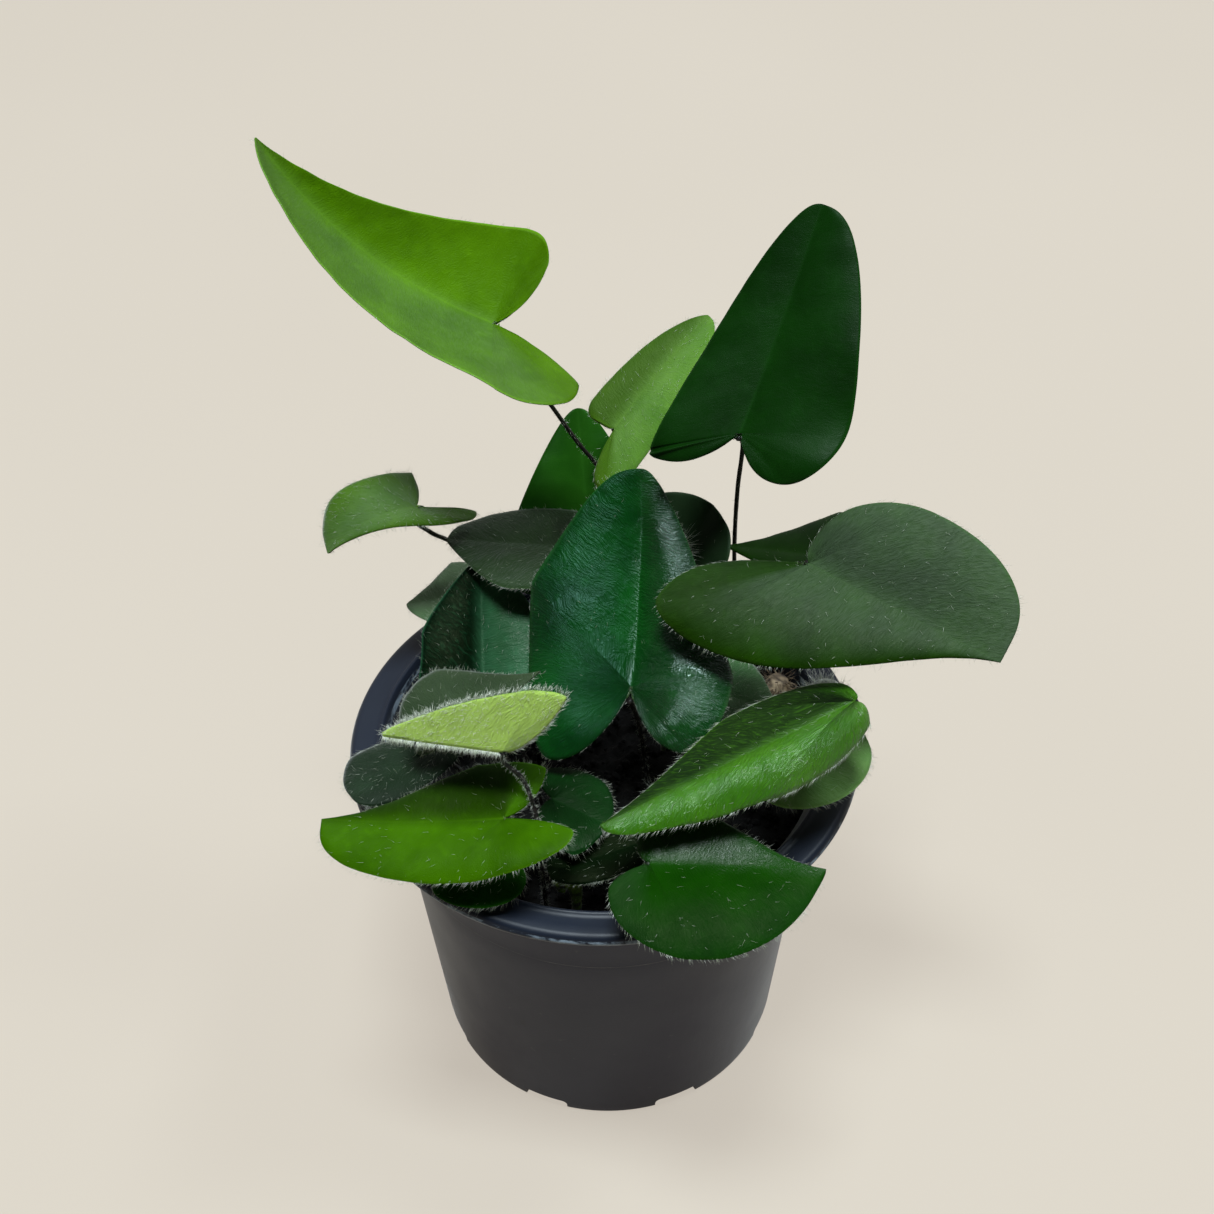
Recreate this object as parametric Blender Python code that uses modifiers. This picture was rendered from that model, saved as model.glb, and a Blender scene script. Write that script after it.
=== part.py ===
"""Heart fern in a black nursery pot: pot, soil, rootstock, fronds and young croziers.

Lengths in the tables below are millimetres; the objects are made in metres, +Z up.
"""
import math
import random

import bmesh
import bpy
from mathutils import Matrix, Vector

MM = 0.001

# Pot
RIM_RADIUS = 52.5
RIM_HEIGHT = 83.0
WALL_TOP_RADIUS = 44.8
BASE_RADIUS = 38.0
WALL = 1.2
COLLAR_DROP = 22.0
POT_SIDES = 48
NOTCHES = 8
NOTCH_WIDTH = 10.0
NOTCH_HEIGHT = 3.0
NOTCH_DEPTH = 5.5

# Soil
SOIL_TOP = 70.0
SOIL_GAP = 0.3
SOIL_LUMP = 0.7
HOLE_RADIUS = 0.95
HOLE_FLOOR = 62.5

# Fronds
BLADE_THICKNESS = 0.7
STALK_RADIUS = 0.5
STALK_FOOT = 63.0
JOINT_GAP = 0.55
MARGIN_STEPS = {"fine": (6, 4, 3), "plain": (4, 3, 2)}
VEIN_STEPS = {"fine": 4, "plain": 3}
WELD = 0.05
MAX_OPENING = math.radians(48)

# Each frond: where the stalk meets the blade (sinus) and where the tip is; for the left and the
# right half, as seen from the stalk looking to the tip: half width, how far out it is widest, how
# far the lobe runs back behind the sinus, and how far from the midline that lobe ends.
# In degrees: fold lifts the halves, camber curves them from midrib to margin, droop turns the lobes
# down, roll tilts the blade and arch bends its midrib. tip_angle and fullness round the outer
# margins, notch and heel the inner edges of the lobes. pillow swells the middle of each half, wave
# is the height and number of the ripples along a margin. joint is the room between blade and stalk,
# route lists points that the stalk passes on its way down, and green is the leaf's own colour.
FRONDS = {
    "high_left": dict(
        sinus=(-20, 36, 160), tip=(-61.5, 43.5, 196), left=(27, -5.5, 19.5, 7), right=(20, 0.5, 6, 14.5),
        fold=(20, 40), camber=(-15, -20), droop=(20, 0), roll=-7, arch=-47,
        tip_angle=(80, 20), fullness=(0.03, 0.03), notch=0.3,
        route=((-11, 35, 143.5), (-5, 37, 131), (2, 36.5, 119), (5.5, 30.5, 102), (4, 22)),
        wave=(0.5, 3), mesh="fine", green=(0.075, 0.205, 0.010)),
    "upright_young": dict(
        sinus=(3, 34.8, 135), tip=(22.5, 51, 151), left=(7.5, 3, 1, 5.5), right=(12, -4, 11.5, 6.5),
        fold=(14, 14), camber=(25, 25), roll=5, arch=11, tip_angle=(45, 68),
        fullness=(0.36, 0.49), notch=0.57,
        route=((8, 25, 126), (9.5, 19, 110), (9, 14, 90), (9, 12)),
        green=(0.100, 0.240, 0.030)),
    "high_right": dict(
        sinus=(26, 11.5, 150), tip=(42, 37, 184), left=(15.5, -8, 9.5, 14),
        right=(19.5, 6, 6.5, 9), fold=(3, 3), camber=(14, 18), roll=3, arch=-9,
        tip_angle=(45, 70), fullness=(0.03, 0.2), notch=0.2,
        route=((27, 18.5, 132), (27.5, 25, 112), (28, 24, 92), (26, 20)),
        wave=(0.8, 3), mesh="fine", green=(0.006, 0.028, 0.006)),
    "back_left": dict(
        sinus=(-2.5, 35, 104), tip=(-4.5, 51.5, 128), left=(19, -4.5, 10, 10), right=(15, -2, 9, 8),
        fold=(8, 8), camber=(25, 25), tip_angle=(45, 50), fullness=(0.25, 0.15),
        route=((-3, 32, 92), (-3, 24)), green=(0.010, 0.050, 0.008)),
    "centre": dict(
        sinus=(5, -12.5, 105), tip=(8, 19, 137), left=(22, 18.5, 15, 14), right=(20.5, 2, 12.5, 13),
        fold=(6, 6), camber=(30, 30), droop=(12, 12), pillow=(1.4, 2), roll=-10, arch=-42,
        tip_angle=(70, 32), fullness=(0.03, 0.03), notch=0.33, joint=0.8,
        route=((7, -10, 95), (9, -8)), wave=(0.4, 3), mesh="fine",
        green=(0.006, 0.050, 0.012)),
    "small_left": dict(
        sinus=(-37, 24.5, 124), tip=(-55, 17.5, 118), left=(5, -4, 14.5, 2), right=(9.5, 10.5, 3.5, 9),
        fold=(0, 0), camber=(20, 20), roll=-20, arch=86, tip_angle=(10, 70), fullness=(0.23, 0.8),
        route=((-35, 25.5, 116.5), (-30.5, 31.5, 107.5), (-17, 27, 94), (-9, 16)),
        green=(0.095, 0.250, 0.020)),
    "back_middle": dict(
        sinus=(-5, 23, 114), tip=(-32, 28.5, 112), left=(14, 10, 5, 6), right=(12, 6, 7, 6),
        fold=(0, 0), camber=(20, 20), tip_angle=(40, 80), fullness=(0.3, 0.5),
        route=((-4, 19, 108), (0, 14)), green=(0.015, 0.040, 0.014)),
    "left_upright": dict(
        sinus=(-24.5, 1.5, 93), tip=(-25, 24, 110), left=(12.5, 12, 5, 18), right=(16, 0, 9, 8),
        fold=(8, 8), camber=(30, 30), pillow=(0.8, 0.8), tip_angle=(50, 60), fullness=(0.2, 0.4),
        route=((-18, 3, 84), (-14, 2)), green=(0.010, 0.050, 0.020)),
    "left_small": dict(
        sinus=(-26.5, 29, 96), tip=(-41.5, 25, 97), left=(10, 1.5, 6, 5), right=(11.5, 3, 6.5, 5),
        fold=(0, 0), camber=(15, 15), tip_angle=(78, 25), fullness=(0.4, 0.05),
        route=((-23, 27, 88), (-15, 19)), green=(0.015, 0.045, 0.014)),
    "left_grey": dict(
        sinus=(-29.5, -18, 106), tip=(-12, -12, 113), left=(12.5, 1, 9, 4.5), right=(6, -3, 8, 4),
        fold=(8, 8), camber=(20, 20), arch=-6, tip_angle=(10, 10), fullness=(0.2, 0.3),
        route=((-20, -8, 92), (-15, -10, 84), (-13, -12)), green=(0.025, 0.050, 0.022)),
    "folded_young": dict(
        sinus=(-18.5, -33.5, 114), tip=(-41, -27, 112), left=(13.5, -8, 12.5, 13),
        right=(10, 2, 7, 7), fold=(108, 12), tip_angle=(40, 40), fullness=(0.2, 0.4),
        notch=0.5, heel=0.1,
        route=((-15.2, -34, 107), (-12.9, -36.6, 100), (-12.3, -38, 89), (-12, -37)),
        green=(0.230, 0.450, 0.060)),
    "left_rim": dict(
        sinus=(-32.5, -9.5, 90), tip=(-50, -21.5, 89), left=(6.5, 9.5, 3, 2), right=(9.5, 14, 2, 2.5),
        fold=(-5, -5), camber=(20, 25), tip_angle=(90, 86), fullness=(0.5, 0.47),
        route=((-27, -13, 84), (-24, -12)), green=(0.010, 0.050, 0.012)),
    "front_left": dict(
        sinus=(-18.5, -37.5, 100), tip=(-53.5, -33.5, 96), left=(13, 12, 13.5, 4),
        right=(12.5, 6.5, 7, 10.5), fold=(-4, 4), camber=(46, 34), roll=-8, arch=-15,
        tip_angle=(87, 6), fullness=(0.53, 0.03), notch=0.38,
        route=((-19, -31, 90), (-20, -27, 80), (-20, -26)), wave=(0.4, 3), mesh="fine",
        green=(0.120, 0.290, 0.006)),
    "front_left_rim": dict(
        sinus=(-17.5, -39, 88), tip=(-33, -42.5, 87), left=(7.5, 3.5, 2, 2), right=(8, 6, 4, 4),
        fold=(-8, -5), camber=(20, 20), tip_angle=(78, 70), fullness=(0.47, 0.48),
        route=((-17, -37, 82), (-17, -33)), green=(0.010, 0.055, 0.006)),
    "front_inner": dict(
        sinus=(-10.5, -26.5, 93), tip=(0.5, -32.5, 91.5), left=(10, 5, 5, 5),
        right=(9.5, 9, 1, 4), fold=(-5, -2), camber=(25, 25), tip_angle=(80, 80),
        fullness=(0.48, 0.48),
        route=((-8, -22, 84), (-6, -19)), green=(0.010, 0.060, 0.012)),
    "front_centre": dict(
        sinus=(9, -33, 88), tip=(-11, -40, 87), left=(5.5, 9, 1, 2), right=(6.5, 12, 5, 2),
        fold=(-2, 4), camber=(30, 15), tip_angle=(90, 78), fullness=(0.37, 0.48),
        route=((9, -30, 80), (8, -26)), green=(0.010, 0.045, 0.010)),
    "right_long": dict(
        sinus=(47, -21.5, 113), tip=(-1, -43, 104), left=(11, 22, 1.5, 3), right=(10, 22, 2, 2.5),
        fold=(-6, -2), camber=(66, 26), droop=(40, 40), roll=-6, arch=-5, tip_angle=(53, 6),
        fullness=(0.05, 0.05), notch=0.5,
        route=((41, -12, 100), (39, -3, 91), (35, 0, 80), (33, 0)), wave=(0.4, 3), mesh="fine",
        green=(0.060, 0.270, 0.008)),
    "right_under": dict(
        sinus=(33, -18, 92), tip=(52, -14, 94), left=(9, 6, 6, 5), right=(13, 6.5, 5, 4.5),
        fold=(0, 0), camber=(20, 25), tip_angle=(90, 83), fullness=(0.5, 0.6),
        route=((32, -13, 84), (30, -6)), green=(0.015, 0.055, 0.014)),
    "front_right": dict(
        sinus=(8, -45.5, 96), tip=(40.5, -46, 94), left=(11, 1.5, 2.5, 5), right=(19.5, 7.5, 7.5, 6),
        fold=(20, -4), camber=(24, 46), roll=5, tip_angle=(8, 59), fullness=(0.5, 0.7), notch=0.3,
        route=((13, -34, 90.5), (15, -26, 81), (15, -20)), wave=(0.4, 3), mesh="fine",
        green=(0.006, 0.085, 0.006)),
    "right_wide": dict(
        sinus=(39, -1.5, 130), tip=(72.5, -23, 124), left=(19.5, 16.5, 1.5, 3.5),
        right=(24.5, -12, 21.5, 20), fold=(10, 2), camber=(24, 34), roll=31, arch=-7,
        tip_angle=(93, 6), fullness=(0.85, 0.49), notch=0.18,
        route=((40, 6.5, 110), (38.5, 12, 94), (31, 17, 81), (30, 15)), wave=(0.4, 3),
        mesh="fine", green=(0.045, 0.085, 0.035)),
    "right_back": dict(
        sinus=(49.5, 14.5, 117), tip=(25.5, 21.5, 115), left=(8, 4, 5, 5), right=(14.5, 4, 8, 6),
        fold=(0, 0), camber=(15, 15), tip_angle=(30, 10), fullness=(0.25, 0.05),
        route=((50, 18, 106), (43, 19, 91), (34, 21, 79), (32, 21)), green=(0.010, 0.060, 0.008)),
    "back_right": dict(
        sinus=(14, 18.5, 106), tip=(22.5, 23.5, 124), left=(15.5, 9.5, 5, 5), right=(11.5, 12, 5, 5),
        fold=(5, 5), camber=(15, 15), tip_angle=(60, 77), fullness=(0.4, 0.57),
        route=((12, 15, 92), (16, 12)), green=(0.010, 0.035, 0.010)),
    "inner_right": dict(
        sinus=(20.5, -1, 96), tip=(34.5, -6, 95), left=(12, 4, 7, 5), right=(11, 5, 7, 5),
        fold=(0, 0), camber=(20, 20), tip_angle=(45, 60), fullness=(0.4, 0.48),
        route=((18, 3, 86), (18, 3)), green=(0.025, 0.065, 0.025)),
}

# Young fronds still rolled up: points from the soil to the rolled end, thickness at the foot and
# at the end, both as radii, and the radius and turns of the roll.
CROZIERS = {
    "woolly": dict(path=((37, 1), (41.5, 3, 82), (43.5, 3.6, 90)), foot=1.0, end=1.6,
                   roll=3.0, toward=(0.8, -0.3), green=(0.50, 0.52, 0.45)),
    "inner": dict(path=((13, -14), (13.2, -13.6, 80)), foot=0.9, end=1.3,
                  roll=2.2, toward=(-0.8, -0.2), green=(0.30, 0.38, 0.20)),
    "front_green": dict(path=((-6, -35.5), (-6, -35.8, 76)), foot=1.0, end=1.4,
                        roll=2.2, toward=(-0.9, 0.4), green=(0.10, 0.17, 0.02)),
    "front_grey": dict(path=((-3, -30), (-3, -30.5, 77)), foot=0.8, end=1.2,
                       roll=2.0, toward=(0.2, -0.9), green=(0.03, 0.06, 0.03)),
    "behind_centre": dict(path=((12.5, 6), (12.5, 7, 90), (13, 11, 106), (13.6, 17, 116)),
                          foot=0.6, end=0.9, roll=1.8, toward=(0.7, 0.7),
                          green=(0.30, 0.33, 0.22)),
}

# Rootstock: points from inside the soil to its scaly head, with the radius at each.
ROOTSTOCK = ((33, 8, 64, 3.2), (34, 8.8, 72, 3.6), (35.5, 10, 79, 3.8), (36.5, 11, 84, 3.4),
             (37, 11.5, 86.5, 1.8))
ROOTSTOCK_SIDES = 12


def clear_scene():
    for thing in list(bpy.data.objects):
        bpy.data.objects.remove(thing, do_unlink=True)


def new_collection(name):
    collection = bpy.data.collections.new(name)
    bpy.context.scene.collection.children.link(collection)
    return collection


def material(name, colour, roughness, metallic=0.0):
    made = bpy.data.materials.new(name)
    made.use_nodes = True
    shader = made.node_tree.nodes["Principled BSDF"]
    shader.inputs["Base Color"].default_value = (*colour, 1.0)
    shader.inputs["Roughness"].default_value = roughness
    shader.inputs["Metallic"].default_value = metallic
    made.diffuse_color = (*colour, 1.0)
    return made


def add_mesh_object(name, bm, collection, finish):
    mesh = bpy.data.meshes.new(name)
    bmesh.ops.recalc_face_normals(bm, faces=bm.faces)
    bm.to_mesh(mesh)
    bm.free()
    made = bpy.data.objects.new(name, mesh)
    made.data.materials.append(finish)
    collection.objects.link(made)
    return made


def turned(name, profile, sides, collection, finish):
    """A closed turned solid from a profile of (radius, height) that runs axis to axis."""
    mesh = bpy.data.meshes.new(name)
    points = [(r * MM, 0.0, z * MM) for r, z in profile]
    edges = [(i, i + 1) for i in range(len(points) - 1)]
    mesh.from_pydata(points, edges, [])
    made = bpy.data.objects.new(name, mesh)
    made.data.materials.append(finish)
    collection.objects.link(made)
    screw = made.modifiers.new("turn", "SCREW")
    screw.steps = sides
    screw.render_steps = sides
    screw.use_merge_vertices = True
    screw.merge_threshold = 0.00002
    screw.use_normal_calculate = True
    apply_modifiers(made)
    return made


def apply_modifiers(made):
    depsgraph = bpy.context.evaluated_depsgraph_get()
    mesh = bpy.data.meshes.new_from_object(made.evaluated_get(depsgraph))
    made.modifiers.clear()
    made.data = mesh


def cut(made, cutter):
    boolean = made.modifiers.new("cut", "BOOLEAN")
    boolean.operation = "DIFFERENCE"
    boolean.solver = "EXACT"
    boolean.object = cutter
    apply_modifiers(made)


def wall_radius(z):
    """Outer radius of the pot's tapered wall at height z."""
    return BASE_RADIUS + (WALL_TOP_RADIUS - BASE_RADIUS) * z / (RIM_HEIGHT - 4.5)


def build_pot(collection, cutters):
    collar = RIM_HEIGHT - COLLAR_DROP
    lip = RIM_RADIUS
    top = RIM_HEIGHT
    profile = [
        (0, 0), (BASE_RADIUS - 2.0, 0), (BASE_RADIUS, 1.2),
        (wall_radius(collar) - 0.2, collar), (wall_radius(collar) + 0.2, collar + 0.4),
        (WALL_TOP_RADIUS, top - 4.5), (WALL_TOP_RADIUS + 0.6, top - 2.6),
        (lip - 2.4, top - 2.4), (lip - 1.2, top - 3.4), (lip - 0.2, top - 3.2),
        (lip, top - 1.6), (lip - 0.8, top - 0.5), (lip - 2.4, top - 0.2),
        (lip - 5.2, top - 0.5), (lip - 6.0, top), (lip - 6.8, top - 0.5),
        (WALL_TOP_RADIUS - WALL, top - 5.5),
        (wall_radius(2) - WALL, 2.2), (wall_radius(2) - WALL - 0.8, 1.5), (0, 1.5),
    ]
    finish = material("black_plastic", (0.032, 0.032, 0.035), 0.42)
    pot = turned("pot", profile, POT_SIDES, collection, finish)
    notches = bmesh.new()
    for i in range(NOTCHES):
        turn = Matrix.Rotation(math.tau * (i + 0.5) / NOTCHES, 4, "Z")
        place = turn @ Matrix.Translation(((BASE_RADIUS + 1 - NOTCH_DEPTH / 2) * MM, 0, 0))
        size = Matrix.Diagonal(((NOTCH_DEPTH + 2) * MM, NOTCH_WIDTH * MM, 2 * NOTCH_HEIGHT * MM, 1))
        bmesh.ops.create_cube(notches, size=1.0, matrix=place @ size)
    cutter = add_mesh_object("cut_notches", notches, cutters, finish)
    cut(pot, cutter)
    return pot


def all_feet():
    """Foot (x, y) and hole radius of everything that stands in the soil."""
    feet = []
    for frond in FRONDS.values():
        x, y = frond["route"][-1][:2]
        feet.append((x, y, HOLE_RADIUS))
    for crozier in CROZIERS.values():
        x, y = crozier["path"][0]
        feet.append((x, y, crozier["foot"] + 0.45))
    return feet


def build_soil(collection, cutters):
    """The root ball as potted: it fills the pot to just under the rim, with a lumpy top."""
    inner = WALL_TOP_RADIUS - WALL - SOIL_GAP - 0.9
    floor = wall_radius(2) - WALL - SOIL_GAP - 1.2
    profile = [(0, 1.9), (floor, 1.9), (floor + 0.5, 2.8), (inner, SOIL_TOP),
               (inner - 4, SOIL_TOP + 0.6), (30, SOIL_TOP), (22, SOIL_TOP + 0.8),
               (13, SOIL_TOP + 0.2), (5, SOIL_TOP + 0.9), (0, SOIL_TOP + 0.7)]
    finish = material("potting_soil", (0.010, 0.008, 0.006), 0.95)
    soil = turned("soil", profile, 32, collection, finish)
    draw = random.Random(11)
    for vertex in soil.data.vertices:
        middle = math.hypot(vertex.co.x, vertex.co.y) < (inner - 1) * MM
        if vertex.co.z > (SOIL_TOP - 1) * MM and middle:
            vertex.co.z += draw.uniform(-SOIL_LUMP, SOIL_LUMP) * MM
    holes = bmesh.new()
    depth = SOIL_TOP + 8 - HOLE_FLOOR
    for x, y, radius in all_feet():
        place = Matrix.Translation((x * MM, y * MM, (HOLE_FLOOR + depth / 2) * MM))
        bmesh.ops.create_cone(holes, cap_ends=True, segments=8, radius1=radius * MM,
                              radius2=radius * MM, depth=depth * MM, matrix=place)
    cut(soil, add_mesh_object("cut_holes", holes, cutters, finish))
    bed_path = [Vector(p[:3]) for p in ROOTSTOCK[:3]]
    bed_path[0] = bed_path[0] - (bed_path[1] - bed_path[0]).normalized()
    bed = sweep(bed_path, [p[3] + 0.5 for p in ROOTSTOCK[:3]], ROOTSTOCK_SIDES)
    cut(soil, add_mesh_object("cut_rootstock_bed", bed, cutters, finish))
    return soil


def spline(points, steps):
    """Smooth path through the points (centripetal, so that it makes no loops)."""
    first = points[0] * 2 - points[1]
    last = points[-1] * 2 - points[-2]
    chain = [first] + list(points) + [last]
    path = []
    for i in range(1, len(chain) - 2):
        p = chain[i - 1:i + 3]
        knots = [0.0]
        for a, b in zip(p, p[1:]):
            knots.append(knots[-1] + max((b - a).length, 1e-6) ** 0.5)
        for step in range(steps):
            t = knots[1] + (knots[2] - knots[1]) * step / steps
            a1 = blend(p[0], p[1], knots[0], knots[1], t)
            a2 = blend(p[1], p[2], knots[1], knots[2], t)
            a3 = blend(p[2], p[3], knots[2], knots[3], t)
            b1 = blend(a1, a2, knots[0], knots[2], t)
            b2 = blend(a2, a3, knots[1], knots[3], t)
            path.append(blend(b1, b2, knots[1], knots[2], t))
    path.append(points[-1].copy())
    return path


def blend(a, b, ta, tb, t):
    return a * ((tb - t) / (tb - ta)) + b * ((t - ta) / (tb - ta))


def sweep(path, radii, sides):
    """A closed tube of changing radius along a path, made by extruding its first ring."""
    bm = bmesh.new()
    rings = []
    normal = None
    for i, centre in enumerate(path):
        ahead = path[min(i + 1, len(path) - 1)] - path[max(i - 1, 0)]
        ahead.normalize()
        if normal is None:
            normal = ahead.orthogonal().normalized()
        normal = (normal - ahead * normal.dot(ahead)).normalized()
        side = ahead.cross(normal)
        ring = []
        for k in range(sides):
            angle = math.tau * k / sides
            out = normal * math.cos(angle) + side * math.sin(angle)
            ring.append(bm.verts.new((centre + out * radii[i]) * MM))
        rings.append([bm.edges.new((ring[k], ring[(k + 1) % sides])) for k in range(sides)])
    for a, b in zip(rings, rings[1:]):
        bmesh.ops.bridge_loops(bm, edges=a + b)
    bmesh.ops.holes_fill(bm, edges=rings[0] + rings[-1], sides=sides)
    return bm


def blade_axes(frond):
    """Unit vectors of a blade: along the midrib, to its left, and up out of its upper face."""
    along = (Vector(frond["tip"]) - Vector(frond["sinus"])).normalized()
    up = Vector((0, 0, 1))
    up = (up - along * up.dot(along)).normalized()
    left = up.cross(along)
    turn = Matrix.Rotation(math.radians(frond.get("roll", 0)), 3, along)
    return along, turn @ left, turn @ up


def bezier(p0, p1, p2, p3, t):
    s = 1 - t
    return p0 * s ** 3 + p1 * 3 * s * s * t + p2 * 3 * s * t * t + p3 * t ** 3


def margin_point(frond, side, length, part, t):
    """A point of one half's margin on the flat blade, and the foot of its vein on the midrib."""
    width, widest, lobe, lobe_end = frond["left"] if side > 0 else frond["right"]
    pick = 0 if side > 0 else 1
    angle = math.radians(frond["tip_angle"][pick])
    full = frond["fullness"][pick]
    tip = Vector((length, 0))
    belly = Vector((widest, width))
    heel = Vector((-lobe, lobe_end))
    if part == 0:
        reach = length - widest
        lead = Vector((-math.cos(angle), math.sin(angle))) * 0.3 * reach
        point = bezier(tip, tip + lead, belly + Vector((full * reach, 0)), belly, t)
        return point, length * (1 - t)
    if part == 1:
        back = Vector((0.55 * (widest + lobe), 0))
        rise = Vector((0, 0.55 * (width - lobe_end)))
        return bezier(belly, belly - back, heel + rise, heel, t), 0.0
    turn_in = Vector((0, frond.get("heel", 0.6) * lobe_end))
    inner = Vector((-frond.get("notch", 0.35) * lobe, 0.1 * lobe_end))
    return bezier(heel, heel - turn_in, inner, Vector((0, 0)), t), 0.0


def bend(x, y, t, side, frond, length, arch):
    """Bend a point of one flat half blade; x runs along the midrib, t from the rib to the margin.

    y is how far the margin is from the rib there. Returns the distance to the left, the height
    over the bent midrib, the slope of that rib, the tilt of the half and where the rib is:
    forward and up.
    """
    pick = 0 if side > 0 else 1
    half = arch / 2
    lobe = max((frond["left"], frond["right"])[pick][2], 2.0)
    droop = math.radians(frond.get("droop", (0, 0))[pick]) / lobe or 1e-5
    if x >= 0:
        slope = half - arch * x / length
        forward = (math.sin(half) - math.sin(slope)) * length / arch
        rise = (math.cos(slope) - math.cos(half)) * length / arch
    else:
        slope = half - droop * x
        forward = (math.sin(half) - math.sin(slope)) / droop
        rise = (math.cos(slope) - math.cos(half)) / droop
    camber = math.radians(frond.get("camber", (0, 0))[pick]) or 1e-4
    start = rise_angle(frond, pick)
    end = start - camber * t
    out = y * (math.sin(start) - math.sin(end)) / camber
    lift = y * (math.cos(end) - math.cos(start)) / camber
    return out * side, lift, slope, end, forward, rise


def rise_angle(frond, pick):
    """Angle in radians at which a half leaves the midrib."""
    return math.radians(frond["fold"][pick] + frond.get("camber", (0, 0))[pick] / 2)


def crease_direction(frond):
    """Direction (left, up) that halves the angle between the two halves at the midrib.

    It is longer than 1 where they fold up, so that the blade keeps its thickness there.
    """
    on_left = rise_angle(frond, 0)
    on_right = rise_angle(frond, 1)
    tilt = (on_left - on_right) / 2
    opening = min(abs(on_left + on_right) / 2, MAX_OPENING)
    return Vector((-math.sin(tilt), math.cos(tilt))) / math.cos(opening)


def swelling(frond, side, s, t):
    """Height over the plain curve: a gentle wave of the margin and the pillow of the half."""
    height, waves = frond.get("wave", (0.25, 2))
    phase = 0.6 if side > 0 else 2.3
    wave = height * math.sin(math.tau * waves * s + phase) * t * t * math.sin(math.pi * s)
    pillow = frond.get("pillow", (0, 0))[0 if side > 0 else 1]
    return wave + pillow * math.sin(math.pi * t) * math.sin(math.pi * s) ** 2


def build_blade(name, frond, collection):
    """A closed blade: a grid from the tip to the last vein of the lobes, bent, then extruded."""
    steps = MARGIN_STEPS[frond.get("mesh", "plain")]
    veins = VEIN_STEPS[frond.get("mesh", "plain")]
    along, left, up = blade_axes(frond)
    sinus = Vector(frond["sinus"])
    chord = (Vector(frond["tip"]) - sinus).length
    arch = math.radians(frond.get("arch", 0)) or 1e-4
    length = chord * (arch / 2) / math.sin(arch / 2)
    total = sum(steps) - 1
    crease = crease_direction(frond)
    bm = bmesh.new()
    bmesh.ops.create_grid(bm, x_segments=total, y_segments=2 * veins, size=1.0)
    outward = bm.verts.layers.float_vector.new("outward")
    for vertex in bm.verts:
        number = round((vertex.co.x + 1) / 2 * total)
        side = 1 if vertex.co.y >= 0 else -1
        t = abs(vertex.co.y)
        part = 0
        while part < 2 and number > steps[part]:
            number -= steps[part]
            part += 1
        point, foot = margin_point(frond, side, length, part, number / steps[part])
        s = (vertex.co.x + 1) / 2
        flat_x = foot + (point.x - foot) * t
        out, lift, slope, tilt, forward, rise = bend(flat_x, point.y, t, side, frond, length, arch)
        lift += swelling(frond, side, s, t)
        raised = up * math.cos(slope) - along * math.sin(slope)
        vertex.co = (sinus + along * forward + left * out + up * rise + raised * lift) * MM
        if t < 0.01 or number == 0 and part == 0:
            vertex[outward] = raised * crease.y + left * crease.x
        else:
            vertex[outward] = raised * math.cos(tilt) - left * (side * math.sin(tilt))
    bmesh.ops.remove_doubles(bm, verts=bm.verts, dist=WELD * MM)
    bmesh.ops.dissolve_degenerate(bm, dist=WELD * MM / 10, edges=bm.edges)
    bmesh.ops.triangulate(bm, faces=bm.faces)
    grown = bmesh.ops.extrude_face_region(bm, geom=bm.faces[:], use_keep_orig=True)["geom"]
    for vertex in grown:
        if isinstance(vertex, bmesh.types.BMVert):
            vertex.co -= vertex[outward] * BLADE_THICKNESS * MM
    finish = material("leaf_" + name, frond["green"], 0.5)
    return add_mesh_object("blade_" + name, bm, collection, finish)


def stalk_path(frond):
    """From just under the blade down to the bottom of the stalk's hole."""
    along, _, up = blade_axes(frond)
    tilt = math.radians(frond.get("arch", 0)) / 2
    down = along * math.sin(tilt) - up * math.cos(tilt)
    sinus = Vector(frond["sinus"])
    top = sinus + down * (BLADE_THICKNESS + frond.get("joint", JOINT_GAP))
    points = [top, sinus + down * 3.2]
    points += [Vector(p) for p in frond["route"][:-1]]
    x, y = frond["route"][-1]
    points.append(Vector((x, y, 74)))
    path = spline(points, 2)
    path.append(Vector((x, y, STALK_FOOT)))
    return path


def build_stalk(name, frond, collection, finish):
    """The wiry stalk as a poly curve with a round bevel and filled ends."""
    curve = bpy.data.curves.new("stalk_" + name, "CURVE")
    curve.dimensions = "3D"
    curve.bevel_depth = STALK_RADIUS * MM
    curve.bevel_resolution = 1
    curve.use_fill_caps = True
    path = stalk_path(frond)
    line = curve.splines.new("POLY")
    line.points.add(len(path) - 1)
    for point, where in zip(line.points, path):
        point.co = (*(where * MM), 1.0)
    made = bpy.data.objects.new("stalk_" + name, curve)
    collection.objects.link(made)
    mesh = bpy.data.meshes.new_from_object(made)
    bpy.data.objects.remove(made)
    bm = bmesh.new()
    bm.from_mesh(mesh)
    bmesh.ops.remove_doubles(bm, verts=bm.verts, dist=0.00001)
    return add_mesh_object("stalk_" + name, bm, collection, finish)


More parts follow.
